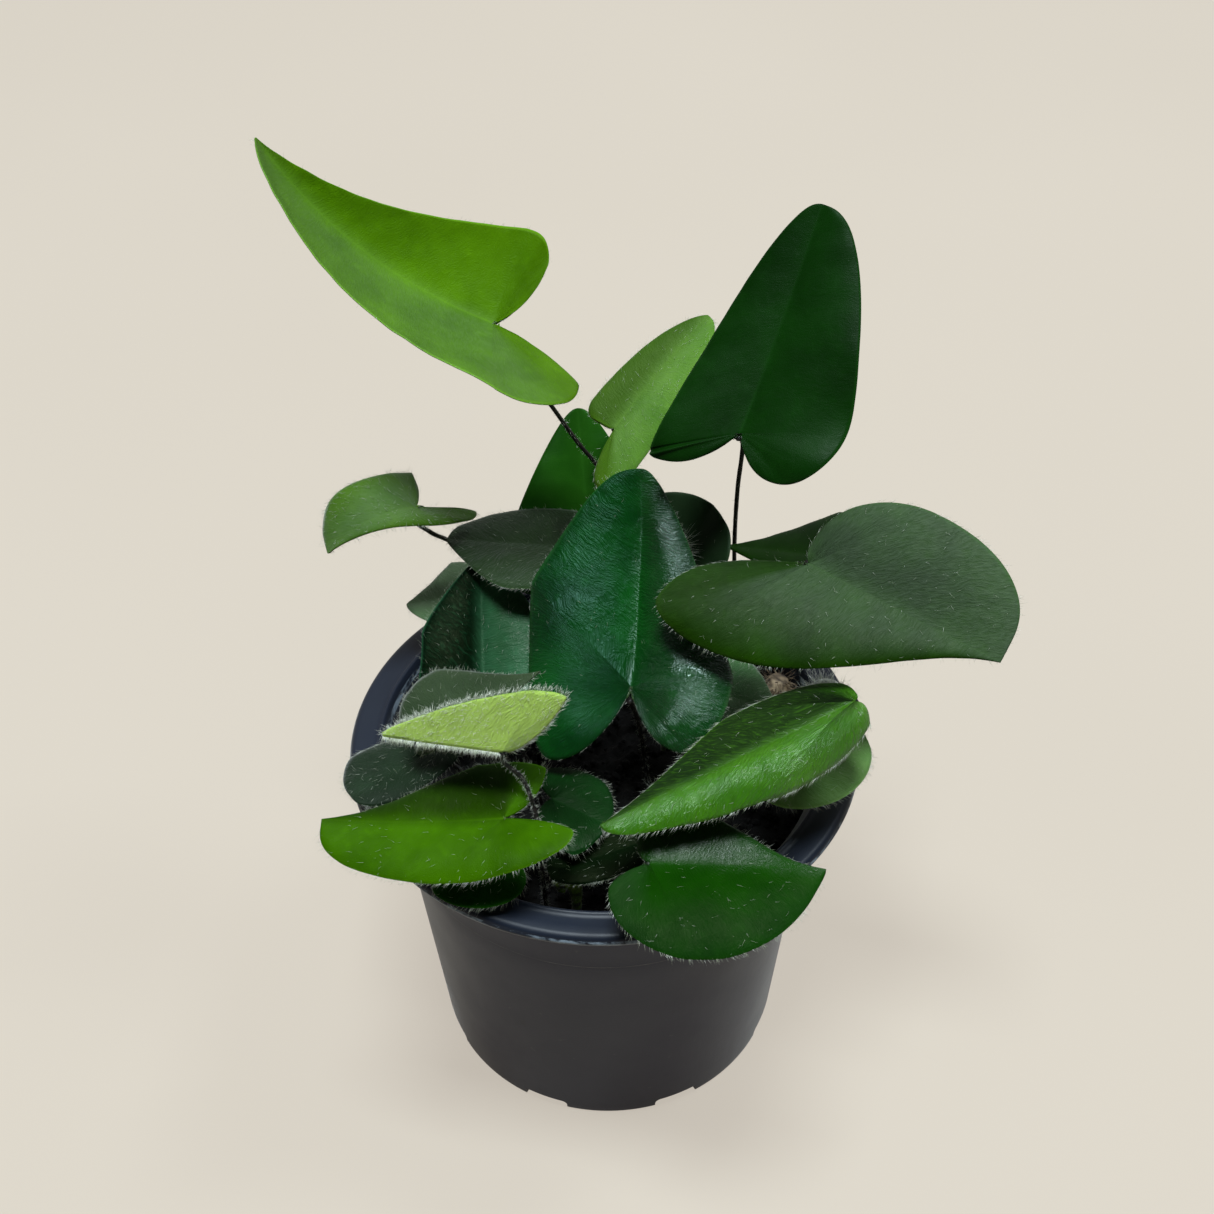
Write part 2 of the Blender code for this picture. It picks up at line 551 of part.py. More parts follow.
def build_crozier(name, crozier, collection):
    """A young frond: a short stem that ends in a rolled-in head."""
    x, y = crozier["path"][0]
    points = [Vector((x, y, 73))] + [Vector(p) for p in crozier["path"][1:]]
    stem = [Vector((x, y, STALK_FOOT))] + spline(points, 2)
    aim = Vector((*crozier["toward"], 0)).normalized()
    radius = crozier["roll"]
    hub = stem[-1] + aim * radius
    roll = []
    for i in range(1, 11):
        angle = math.radians(26) * i
        reach = radius * (1 - 0.045 * i)
        roll.append(hub - aim * reach * math.cos(angle) + Vector((0, 0, reach * math.sin(angle))))
    path = stem + roll
    radii = []
    for i in range(len(path)):
        share = min(1.0, i / len(stem))
        radii.append(crozier["foot"] + (crozier["end"] - crozier["foot"]) * share)
    for i in range(1, 7):
        radii[-i] = min(radii[-i], crozier["end"] * (0.28 + 0.1 * i))
    finish = material("crozier_" + name, crozier["green"], 0.7)
    return add_mesh_object("crozier_" + name, sweep(path, radii, 8), collection, finish)


def build_rootstock(collection):
    """The short scaly rootstock whose head shows between the right-hand fronds."""
    bm = sweep([Vector(p[:3]) for p in ROOTSTOCK], [p[3] for p in ROOTSTOCK], ROOTSTOCK_SIDES)
    finish = material("rootstock_scales", (0.10, 0.06, 0.035), 0.85)
    return add_mesh_object("rootstock", bm, collection, finish)


def main():
    clear_scene()
    fern = new_collection("heart_fern")
    cutters = new_collection("cutters")
    build_pot(fern, cutters)
    build_soil(fern, cutters)
    build_rootstock(fern)
    stalk_finish = material("stalk_black", (0.012, 0.008, 0.006), 0.35)
    for name, frond in FRONDS.items():
        build_blade(name, frond, fern)
        build_stalk(name, frond, fern, stalk_finish)
    for name, crozier in CROZIERS.items():
        build_crozier(name, crozier, fern)
    for cutter in cutters.objects:
        cutter.display_type = "WIRE"
        cutter.hide_render = True
        cutter.hide_set(True)


main()
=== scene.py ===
import math

import bmesh
import bpy
import numpy as np
from mathutils import Matrix, Vector, noise


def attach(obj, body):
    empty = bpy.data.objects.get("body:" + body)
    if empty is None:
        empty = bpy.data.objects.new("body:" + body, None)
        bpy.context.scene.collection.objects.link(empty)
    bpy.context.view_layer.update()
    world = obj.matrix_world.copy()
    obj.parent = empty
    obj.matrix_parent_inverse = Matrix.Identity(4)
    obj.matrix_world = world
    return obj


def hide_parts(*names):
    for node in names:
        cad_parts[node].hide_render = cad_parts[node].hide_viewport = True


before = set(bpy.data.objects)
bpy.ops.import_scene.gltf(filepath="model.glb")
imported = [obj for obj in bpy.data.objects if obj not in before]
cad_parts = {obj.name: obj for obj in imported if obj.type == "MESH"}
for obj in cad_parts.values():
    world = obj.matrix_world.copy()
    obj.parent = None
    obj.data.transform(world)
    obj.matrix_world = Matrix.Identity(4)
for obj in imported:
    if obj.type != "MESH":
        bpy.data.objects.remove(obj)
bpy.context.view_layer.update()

MM = 0.001
BODY = "root"
SENSOR_WIDTH = 36.0

# Camera as in the photograph: place in mm, degrees below level, degrees of roll, lens in mm
CAMERA_PLACE = (0.992, -256.748, 354.259)
CAMERA_DOWN = 42.6
CAMERA_ROLL = 1.0
CAMERA_LENS = 53.377

# Pot and soil, mm
RIM_RADIUS = 52.5
RIM_HEIGHT = 83.0
RIM_DEPTH = 4.5
WALL_TOP_RADIUS = 44.8
BASE_RADIUS = 38.0
WALL = 1.2
COLLAR_DROP = 22.0
CRUMBS = 1100
NOTCHES = 8
NOTCH_WIDTH = 10.0
NOTCH_HEIGHT = 3.0
NOTCH_DEPTH = 5.5
SOIL_TOP = 70.3

# Fronds, mm
BLADE_THICKNESS = 0.45
EDGE_SHARE = 0.45
STALK_RADIUS = 0.46
STALK_FOOT = 68.0
# Steps along the margin (tip to belly, belly to heel, heel to sinus) and rows across a half
FINE = {"large": ((84, 58, 30), 28), "small": ((44, 30, 16), 15)}
# The vein map's first value is the run along the margin in mm, with this added on the left half
LEFT_RUN = 200.0
# Fine relief of the blades, mm: groove of the midrib, turned down margin, waves and wrinkles
RIB_GROOVE = 0.08
MARGIN_ROLL = 0.30
LONG_WAVES = 0.30
WRINKLES = 0.10
# Depth of the wrinkles' bump in metres, and the display colour of the painted sheen
WRINKLE_DEPTH = 0.00025
PAINTED_SHEEN_COLOUR = (156, 168, 156)

# Finishes of the leaves: velvet (sheen), shine (specular level), roughness low and high, depth of
# the leathery wrinkles, tint of the gleam, and in mm the length of the hairs on face and margin
# and their radius
FINISHES = {
    "smooth": dict(velvet=0.0, shine=0.09, rough=(0.38, 0.50), bump=0.6, face=0.8, fringe=0.7,
                   hair=0.018, gleam=(0.85, 1.0, 0.85)),
    "soft": dict(velvet=0.0, shine=0.06, rough=(0.34, 0.46), bump=1.2, face=1.4, fringe=1.5,
                 hair=0.024, gleam=(0.90, 1.0, 0.55)),
    "glossy": dict(velvet=0.0, shine=0.28, rough=(0.22, 0.34), bump=1.3, face=1.0, fringe=0.9,
                   hair=0.022, gleam=(0.50, 0.95, 0.85)),
    "leather": dict(velvet=0.0, shine=0.22, rough=(0.24, 0.36), bump=1.8, face=1.5, fringe=1.8,
                    hair=0.028, gleam=(0.95, 1.0, 0.90)),
    "satin": dict(velvet=0.03, shine=0.24, rough=(0.26, 0.38), bump=1.2, face=1.3, fringe=1.4,
                  hair=0.024, gleam=(0.75, 1.0, 0.85)),
    "velvet": dict(velvet=0.28, shine=0.18, rough=(0.40, 0.55), bump=1.5, face=1.5, fringe=1.4,
                   hair=0.026, gleam=(0.90, 1.0, 0.85)),
    "silky": dict(velvet=0.25, shine=0.25, rough=(0.45, 0.60), bump=1.2, face=1.8, fringe=1.7,
                  hair=0.042, gleam=(1.0, 1.0, 0.80)),
}

# What a frond has where its own entry says nothing else
USUAL = dict(size="small", slot="leaf_dark", finish="velvet", roll=0, arch=0, fold=(0, 0),
             camber=(20, 20), droop=(0, 0), pillow=(0, 0), swells=(), wave=(0.25, 2), notch=0.35,
             heel=0.6, crease=0.8, tip_round=1.5, streak=0.6, under=(70, 104, 50), shade=(1, 1),
             matt=(0, 0), coat=(0, 0), bloom=((0, 0, 0), (0, 0, 0)))

# Each frond. Left and right are as seen from the stalk looking to the tip, and a pair of values
# is for the left and the right half.
# sinus and tip: where the lobes meet and where the blade ends, in mm
# left, right: half width, where it is widest, how far the lobe runs back, where it ends, in mm
# fold, camber, droop, roll, arch: degrees that lift a half, curve it across, turn its lobe down,
# tilt the whole blade and bend its midrib
# tip_angle, fullness, notch, heel: form of the margins at the tip, belly, sinus and lobe
# wave: height in mm and number of the margin's ripples
# pillow: how far each half swells, in mm
# swells: bulges, each by its place along and across to the left, height and radius in mm
# crease, tip_round: how far from the midrib its fold is rounded, how far the tip is blunted, mm
# route: way of the stalk in mm, the last place on the soil
# deep, fresh, under: display colours of the face and the underside
# streak: strength of the wrinkles
# shade, matt, coat: a half's painted shade (painted light where above 1), added roughness and gloss
# bloom: for each half how much pale sheen is painted at the midrib, margin and lobe
# hairs: counts per mm2 of face, per mm of margin and per mm of stalk
FRONDS = {
    "high_left": dict(
        sinus=(-20, 36, 160), tip=(-61.5, 43.5, 196), left=(27, -5.5, 19.5, 7),
        right=(20, 0.5, 6, 14.5), roll=-7, arch=-47, fold=(20, 40), camber=(-15, -20),
        droop=(20, 0), wave=(0.5, 3), notch=0.3, tip_angle=(80, 20), fullness=(0.03, 0.03),
        crease=1.2, tip_round=0.6,
        route=((-11, 35, 143.5), (-5, 37, 131), (2, 36.5, 119), (5.5, 30.5, 102), (4, 22)),
        size="large", slot="leaf_bright", finish="soft", streak=0.3, deep=(64, 104, 2),
        fresh=(92, 140, 8), under=(104, 146, 52), shade=(1, 1.1),
        bloom=((0.08, 0.06, 0), (0, 0, 0)), hairs=(0, 0.5, 3)),
    "upright_young": dict(
        sinus=(3, 34.8, 135), tip=(22.5, 51, 151), left=(7.5, 3, 1, 5.5), right=(12, -4, 11.5, 6.5),
        roll=5, arch=11, fold=(14, 14), camber=(25, 25), notch=0.57, tip_angle=(45, 68),
        fullness=(0.36, 0.49), crease=1.5, tip_round=1.2,
        route=((8, 25, 126), (9.5, 19, 110), (9, 14, 90), (9, 12)), slot="leaf_bright",
        finish="soft", streak=0.4, deep=(58, 98, 10), fresh=(86, 124, 34), under=(110, 150, 64),
        shade=(0.72, 1.6), bloom=((0.02, 0.02, 0), (0.1, 0.06, 0)), hairs=(0.2, 3.2, 3)),
    "high_right": dict(
        sinus=(26, 11.5, 150), tip=(42, 37, 184), left=(15.5, -8, 9.5, 14), right=(19.5, 6, 6.5, 9),
        roll=3, arch=-9, fold=(3, 3), camber=(14, 18), wave=(0.8, 3), notch=0.2, tip_angle=(45, 70),
        fullness=(0.03, 0.2), tip_round=4.5,
        route=((27, 18.5, 132), (27.5, 25, 112), (28, 24, 92), (26, 20)), size="large",
        finish="smooth", streak=0.25, deep=(6, 38, 2), fresh=(15, 58, 8), under=(60, 92, 46),
        hairs=(0, 0.3, 0.3)),
    "back_left": dict(
        sinus=(-2.5, 35, 104), tip=(-4.5, 51.5, 128), left=(19, -4.5, 10, 10), right=(15, -2, 9, 8),
        fold=(8, 8), camber=(25, 25), tip_angle=(45, 50), fullness=(0.25, 0.15), tip_round=3,
        route=((-3, 32, 92), (-3, 24)), finish="smooth", streak=0.25, deep=(22, 72, 8),
        fresh=(42, 98, 20), hairs=(0, 1, 1)),
    "centre": dict(
        sinus=(5, -12.5, 105), tip=(8, 19, 137), left=(22, 18.5, 15, 14), right=(20.5, 2, 12.5, 13),
        roll=-10, arch=-42, fold=(6, 6), camber=(30, 30), droop=(12, 12), pillow=(1.4, 2),
        swells=((-5, -10, 2, 7.5), (-7, 8.5, 1.6, 6), (17, 15, 0.8, 5), (22, -6, 1.2, 6.5)),
        wave=(0.4, 3), notch=0.33, tip_angle=(70, 32), fullness=(0.03, 0.03), crease=1.5,
        tip_round=8, route=((7, -10, 95), (9, -8)), size="large", finish="glossy", streak=1,
        deep=(2, 44, 10), fresh=(12, 82, 18), matt=(0.12, 0), coat=(0, 0.85), hairs=(0.03, 1.6, 4)),
    "small_left": dict(
        sinus=(-37, 24.5, 124), tip=(-55, 17.5, 118), left=(5, -4, 14.5, 2),
        right=(9.5, 10.5, 3.5, 9), roll=-20, arch=86, tip_angle=(10, 70), fullness=(0.23, 0.8),
        route=((-35, 25.5, 116.5), (-30.5, 31.5, 107.5), (-17, 27, 94), (-9, 16)),
        slot="leaf_bright", streak=0.4, deep=(62, 104, 6), fresh=(86, 128, 20),
        under=(120, 162, 76), bloom=((0.1, 0, 0.03), (0.1, 0, 0.03)), hairs=(0.4, 3, 4)),
    "back_middle": dict(
        sinus=(-5, 23, 114), tip=(-32, 28.5, 112), left=(14, 10, 5, 6), right=(12, 6, 7, 6),
        tip_angle=(40, 80), fullness=(0.3, 0.5), tip_round=2, route=((-4, 19, 108), (0, 14)),
        slot="leaf_grey", streak=0.9, deep=(26, 48, 18), fresh=(50, 76, 38), under=(90, 112, 70),
        hairs=(0.1, 2.6, 2)),
    "left_upright": dict(
        sinus=(-24.5, 1.5, 93), tip=(-25, 24, 110), left=(12.5, 12, 5, 18), right=(16, 0, 9, 8),
        fold=(8, 8), camber=(30, 30), pillow=(0.8, 0.8), tip_angle=(50, 60), fullness=(0.2, 0.4),
        tip_round=2, route=((-18, 3, 84), (-14, 2)), finish="soft", streak=0.8, deep=(10, 60, 24),
        fresh=(44, 104, 66), shade=(0.1, 1.4), coat=(0, 0.22), bloom=((0, 0, 0), (0.06, 0.07, 0)),
        hairs=(0.1, 1.6, 2)),
    "left_small": dict(
        sinus=(-26.5, 29, 96), tip=(-41.5, 25, 97), left=(10, 1.5, 6, 5), right=(11.5, 3, 6.5, 5),
        camber=(15, 15), tip_angle=(78, 25), fullness=(0.4, 0.05), route=((-23, 27, 88), (-15, 19)),
        slot="leaf_grey", streak=0.5, deep=(74, 104, 64), fresh=(114, 142, 102),
        under=(80, 112, 58), hairs=(0.2, 2.2, 2)),
    "left_grey": dict(
        sinus=(-29.5, -18, 106), tip=(-12, -12, 113), left=(12.5, 1, 9, 4.5), right=(6, -3, 8, 4),
        arch=-6, fold=(8, 8), tip_angle=(10, 10), fullness=(0.2, 0.3), tip_round=1,
        route=((-20, -8, 92), (-15, -10, 84), (-13, -12)), slot="leaf_grey", deep=(38, 56, 30),
        fresh=(62, 80, 50), under=(84, 100, 66), hairs=(0.25, 3, 3)),
    "folded_young": dict(
        sinus=(-18.5, -33.5, 114), tip=(-41, -27, 112), left=(13.5, -8, 12.5, 13),
        right=(10, 2, 7, 7), fold=(108, 12), camber=(0, 0), notch=0.5, heel=0.1, tip_angle=(40, 40),
        fullness=(0.2, 0.4), tip_round=1,
        route=((-15.2, -34, 107), (-12.9, -36.6, 100), (-12.3, -38, 89), (-12, -37)),
        slot="leaf_young", finish="silky", streak=0.4, deep=(70, 128, 40), fresh=(104, 160, 60),
        # Underside colour brighter than the blade's own, as painted light shining through the thin
        # young blade
        under=(216, 255, 118), hairs=(4.5, 6, 9)),
    "left_rim": dict(
        sinus=(-32.5, -9.5, 90), tip=(-50, -21.5, 89), left=(6.5, 9.5, 3, 2),
        right=(9.5, 14, 2, 2.5), fold=(-5, -5), camber=(20, 25), tip_angle=(90, 86),
        fullness=(0.5, 0.47), tip_round=2, route=((-27, -13, 84), (-24, -12)), streak=0.5,
        deep=(8, 28, 8), fresh=(18, 46, 18), hairs=(0.3, 3, 2)),
    "front_left": dict(
        sinus=(-18.5, -37.5, 100), tip=(-53.5, -33.5, 96), left=(13, 12, 13.5, 4),
        right=(12.5, 6.5, 7, 10.5), roll=-8, arch=-15, fold=(-4, 4), camber=(46, 34), wave=(0.4, 3),
        notch=0.38, tip_angle=(87, 6), fullness=(0.53, 0.03), crease=3.5, tip_round=3,
        route=((-19, -31, 90), (-20, -27, 80), (-20, -26)), size="large", slot="leaf_bright",
        finish="soft", streak=0.3, deep=(44, 84, 0), fresh=(72, 124, 0), under=(112, 152, 50),
        shade=(1, 0.3), bloom=((0, 0, 0), (0, 0.01, 0)), hairs=(0.09, 3.6, 3)),
    "front_left_rim": dict(
        sinus=(-17.5, -39, 88), tip=(-33, -42.5, 87), left=(7.5, 3.5, 2, 2), right=(8, 6, 4, 4),
        fold=(-8, -5), tip_angle=(78, 70), fullness=(0.47, 0.48),
        route=((-17, -37, 82), (-17, -33)), finish="soft", streak=0.4, deep=(10, 60, 2),
        fresh=(34, 98, 6), hairs=(0.2, 3.4, 2)),
    "front_inner": dict(
        sinus=(-10.5, -26.5, 93), tip=(0.5, -32.5, 91.5), left=(10, 5, 5, 5), right=(9.5, 9, 1, 4),
        fold=(-5, -2), camber=(25, 25), tip_angle=(80, 80), fullness=(0.48, 0.48),
        route=((-8, -22, 84), (-6, -19)), finish="soft", streak=0.8, deep=(4, 36, 6),
        fresh=(14, 60, 18), coat=(0.1, 0.1), hairs=(0.12, 2.8, 2)),
    "front_centre": dict(
        sinus=(9, -33, 88), tip=(-11, -40, 87), left=(5.5, 9, 1, 2), right=(6.5, 12, 5, 2),
        fold=(-2, 4), camber=(30, 15), tip_angle=(90, 78), fullness=(0.37, 0.48),
        route=((9, -30, 80), (8, -26)), finish="soft", streak=0.5, deep=(2, 13, 2),
        fresh=(8, 27, 7), hairs=(0.3, 3.4, 3)),
    "right_long": dict(
        sinus=(47, -21.5, 113), tip=(-1, -43, 104), left=(11, 22, 1.5, 3), right=(10, 22, 2, 2.5),
        roll=-6, arch=-5, fold=(-6, -2), camber=(66, 26), droop=(40, 40), pillow=(3, 0.8),
        swells=((25, 7, 0.8, 8), (40, 5, 0.8, 6)), wave=(0.4, 3), notch=0.5, tip_angle=(53, 6),
        fullness=(0.05, 0.05), crease=3, tip_round=2.5,
        route=((41, -12, 100), (39, -3, 91), (35, 0, 80), (33, 0)), size="large",
        slot="leaf_bright", finish="leather", streak=1.3, deep=(48, 112, 0), fresh=(82, 146, 4),
        under=(108, 152, 50), shade=(1, 0.14), matt=(0, 0.5), coat=(1, 0), hairs=(0.08, 3.4, 3)),
    "right_under": dict(
        sinus=(33, -18, 92), tip=(52, -14, 94), left=(9, 6, 6, 5), right=(13, 6.5, 5, 4.5),
        camber=(20, 25), tip_angle=(90, 83), fullness=(0.5, 0.6), route=((32, -13, 84), (30, -6)),
        # Face colours brighter than the leaf's own, as painted light against the shadow of the
        # blades above
        slot="leaf_grey", deep=(90, 134, 62), fresh=(134, 176, 96), under=(80, 112, 58),
        hairs=(0.2, 3.4, 2)),
    "front_right": dict(
        sinus=(8, -45.5, 96), tip=(40.5, -46, 94), left=(11, 1.5, 2.5, 5),
        right=(19.5, 7.5, 7.5, 6), roll=5, fold=(20, -4), camber=(24, 46), wave=(0.4, 3), notch=0.3,
        tip_angle=(8, 59), fullness=(0.5, 0.7), crease=4, tip_round=0.8,
        route=((13, -34, 90.5), (15, -26, 81), (15, -20)), size="large", finish="soft",
        deep=(6, 48, 0), fresh=(18, 70, 0), shade=(1.15, 1), coat=(0.55, 0),
        bloom=((0, 0, 0), (0, 0.01, 0.02)), hairs=(0.07, 2.6, 3)),
    "right_wide": dict(
        sinus=(39, -1.5, 130), tip=(72.5, -23, 124), left=(19.5, 16.5, 1.5, 3.5),
        right=(24.5, -12, 21.5, 20), roll=31, arch=-7, fold=(10, 2), camber=(24, 34), wave=(0.4, 3),
        notch=0.18, tip_angle=(93, 6), fullness=(0.85, 0.49), crease=3, tip_round=2.5,
        route=((40, 6.5, 110), (38.5, 12, 94), (31, 17, 81), (30, 15)), size="large",
        slot="leaf_grey", finish="soft", deep=(22, 48, 4), fresh=(38, 76, 6), under=(90, 122, 62),
        bloom=((0.11, 0.13, 0.09), (0.11, 0, 0.02)), hairs=(0.07, 1.6, 3)),
    "right_back": dict(
        sinus=(49.5, 14.5, 117), tip=(25.5, 21.5, 115), left=(8, 4, 5, 5), right=(14.5, 4, 8, 6),
        camber=(15, 15), tip_angle=(30, 10), fullness=(0.25, 0.05),
        route=((50, 18, 106), (43, 19, 91), (34, 21, 79), (32, 21)), finish="smooth", streak=0.3,
        deep=(18, 50, 2), fresh=(36, 78, 10), hairs=(0.05, 1.6, 2)),
    "back_right": dict(
        sinus=(14, 18.5, 106), tip=(22.5, 23.5, 124), left=(15.5, 9.5, 5, 5),
        right=(11.5, 12, 5, 5), fold=(5, 5), camber=(15, 15), tip_angle=(60, 77),
        fullness=(0.4, 0.57), tip_round=3.5, route=((12, 15, 92), (16, 12)), finish="smooth",
        streak=0.4, deep=(22, 40, 20), fresh=(38, 58, 34), hairs=(0.03, 1.2, 1)),
    "inner_right": dict(
        sinus=(20.5, -1, 96), tip=(34.5, -6, 95), left=(12, 4, 7, 5), right=(11, 5, 7, 5),
        tip_angle=(45, 60), fullness=(0.4, 0.48), route=((18, 3, 86), (18, 3)), slot="leaf_grey",
        deep=(54, 94, 50), fresh=(92, 132, 80), under=(80, 112, 58), hairs=(0.3, 2.4, 2)),
}

# Young fronds still rolled up: path of the stem in mm, radius at its foot and end, radius of the
# roll, where it opens to, display colour, and hairs per mm and their length
CROZIERS = {
    "woolly": dict(path=((37, 1), (41.5, 3, 82), (43.5, 3.6, 90)), foot=1.0, end=1.6,
                   roll=3.0, toward=(0.8, -0.3), colour=(205, 208, 196), hairs=(14.0, 3.4)),
    "inner": dict(path=((13, -14), (13.2, -13.6, 80)), foot=0.9, end=1.3,
                  roll=2.2, toward=(-0.8, -0.2), colour=(96, 118, 66), hairs=(6.0, 1.8)),
    "front_green": dict(path=((-6, -35.5), (-6, -35.8, 76)), foot=1.0, end=1.4,
                        roll=2.2, toward=(-0.9, 0.4), colour=(150, 190, 40), hairs=(2.0, 1.0)),
    "front_grey": dict(path=((-3, -30), (-3, -30.5, 77)), foot=0.8, end=1.2,
                       roll=2.0, toward=(0.2, -0.9), colour=(48, 66, 46), hairs=(4.0, 1.4)),
    "behind_centre": dict(path=((12.5, 6), (12.5, 7, 90), (13, 11, 106), (13.6, 17, 116)),
                          foot=0.6, end=0.9, roll=1.8, toward=(0.7, 0.7),
                          colour=(140, 150, 120), hairs=(10.0, 5.0)),
}

# Rootstock: places and radius in mm
ROOTSTOCK = ((33, 8, 64, 3.2), (34, 8.8, 72, 3.6), (35.5, 10, 79, 3.8), (36.5, 11, 84, 3.4),
             (37, 11.5, 86.5, 1.8))


def display(red, green, blue):
    """Linear colour of a display colour given in 0 to 255."""
    return tuple(((c / 255 + 0.055) / 1.055) ** 2.4 if c > 10 else c / 255 / 12.92
                 for c in (red, green, blue)) + (1.0,)


def build_camera():
    down = math.radians(CAMERA_DOWN)
    roll = math.radians(CAMERA_ROLL)
    ahead = Vector((0, math.cos(down), -math.sin(down)))
    level = Vector((1, 0, 0))
    below = ahead.cross(level)
    right = level * math.cos(roll) + below * math.sin(roll)
    up = level * math.sin(roll) - below * math.cos(roll)
    camera = bpy.data.objects.new("camera", bpy.data.cameras.new("camera"))
    camera.data.lens = CAMERA_LENS
    camera.data.sensor_width = SENSOR_WIDTH
    camera.data.clip_start = 0.01
    turn = Matrix((right, up, -ahead)).transposed().to_4x4()
    camera.matrix_world = Matrix.Translation(Vector(CAMERA_PLACE) * MM) @ turn
    bpy.context.scene.collection.objects.link(camera)
    bpy.context.scene.camera = camera


def add_node(tree, kind, inputs=None, **settings):
    """A node with its settings, each input linked to a socket or set to a value."""
    made = tree.nodes.new(kind)
    for key, value in settings.items():
        setattr(made, key, value)
    for key, value in (inputs or {}).items():
        if isinstance(value, bpy.types.NodeSocket):
            tree.links.new(value, made.inputs[key])
        else:
            made.inputs[key].default_value = value
    return made


def maths(tree, operation, first, second=0.0, clamp=False):
    made = add_node(tree, "ShaderNodeMath", {0: first, 1: second}, operation=operation,
                    use_clamp=clamp)
    return made.outputs[0]


def mixed(tree, share, first, second, blend="MIX"):
    """Colours mixed: first where share is 0, second where it is 1."""
    return add_node(tree, "ShaderNodeMix", {0: share, 6: first, 7: second}, data_type="RGBA",
                    blend_type=blend).outputs[2]


def plus(tree, first, second, clamp=False):
    return maths(tree, "ADD", first, second, clamp)


def times(tree, first, second):
    return maths(tree, "MULTIPLY", first, second)


def between(tree, share, first, second):
    """Plain numbers mixed: first where share is 0, second where it is 1."""
    return add_node(tree, "ShaderNodeMix", {0: share, 2: first, 3: second}).outputs[0]


def between_vectors(tree, share, first, second):
    return add_node(tree, "ShaderNodeMix", {0: share, 4: first, 5: second},
                    data_type="VECTOR").outputs[1]


def split(tree, vector):
    return add_node(tree, "ShaderNodeSeparateXYZ", {0: vector}).outputs


def stretched(tree, vector, scale):
    return add_node(tree, "ShaderNodeMapping", {"Vector": vector, "Scale": scale}).outputs[0]


def object_place(tree):
    return add_node(tree, "ShaderNodeTexCoord").outputs["Object"]


def spread(tree, value, low, high, to_low=0.0, to_high=1.0):
    """Value carried from the range low to high over to another range, held at its ends."""
    made = add_node(tree, "ShaderNodeMapRange", {"Value": value, "From Min": low,
                    "From Max": high, "To Min": to_low, "To Max": to_high})
    return made.outputs[0]


def grain(tree, vector, scale, detail=2.0, roughness=0.5):
    made = add_node(tree, "ShaderNodeTexNoise", {"Vector": vector, "Scale": scale,
                    "Detail": detail, "Roughness": roughness})
    return made.outputs["Fac"]


def new_group(name, inputs, outputs):
    group = bpy.data.node_groups.new(name, "ShaderNodeTree")
    for label, kind, value in inputs:
        socket = group.interface.new_socket(label, in_out="INPUT", socket_type=kind)
        socket.default_value = value
    for label, kind in outputs:
        group.interface.new_socket(label, in_out="OUTPUT", socket_type=kind)
    enter = group.nodes.new("NodeGroupInput")
    leave = group.nodes.new("NodeGroupOutput")
    return group, enter.outputs, leave.inputs


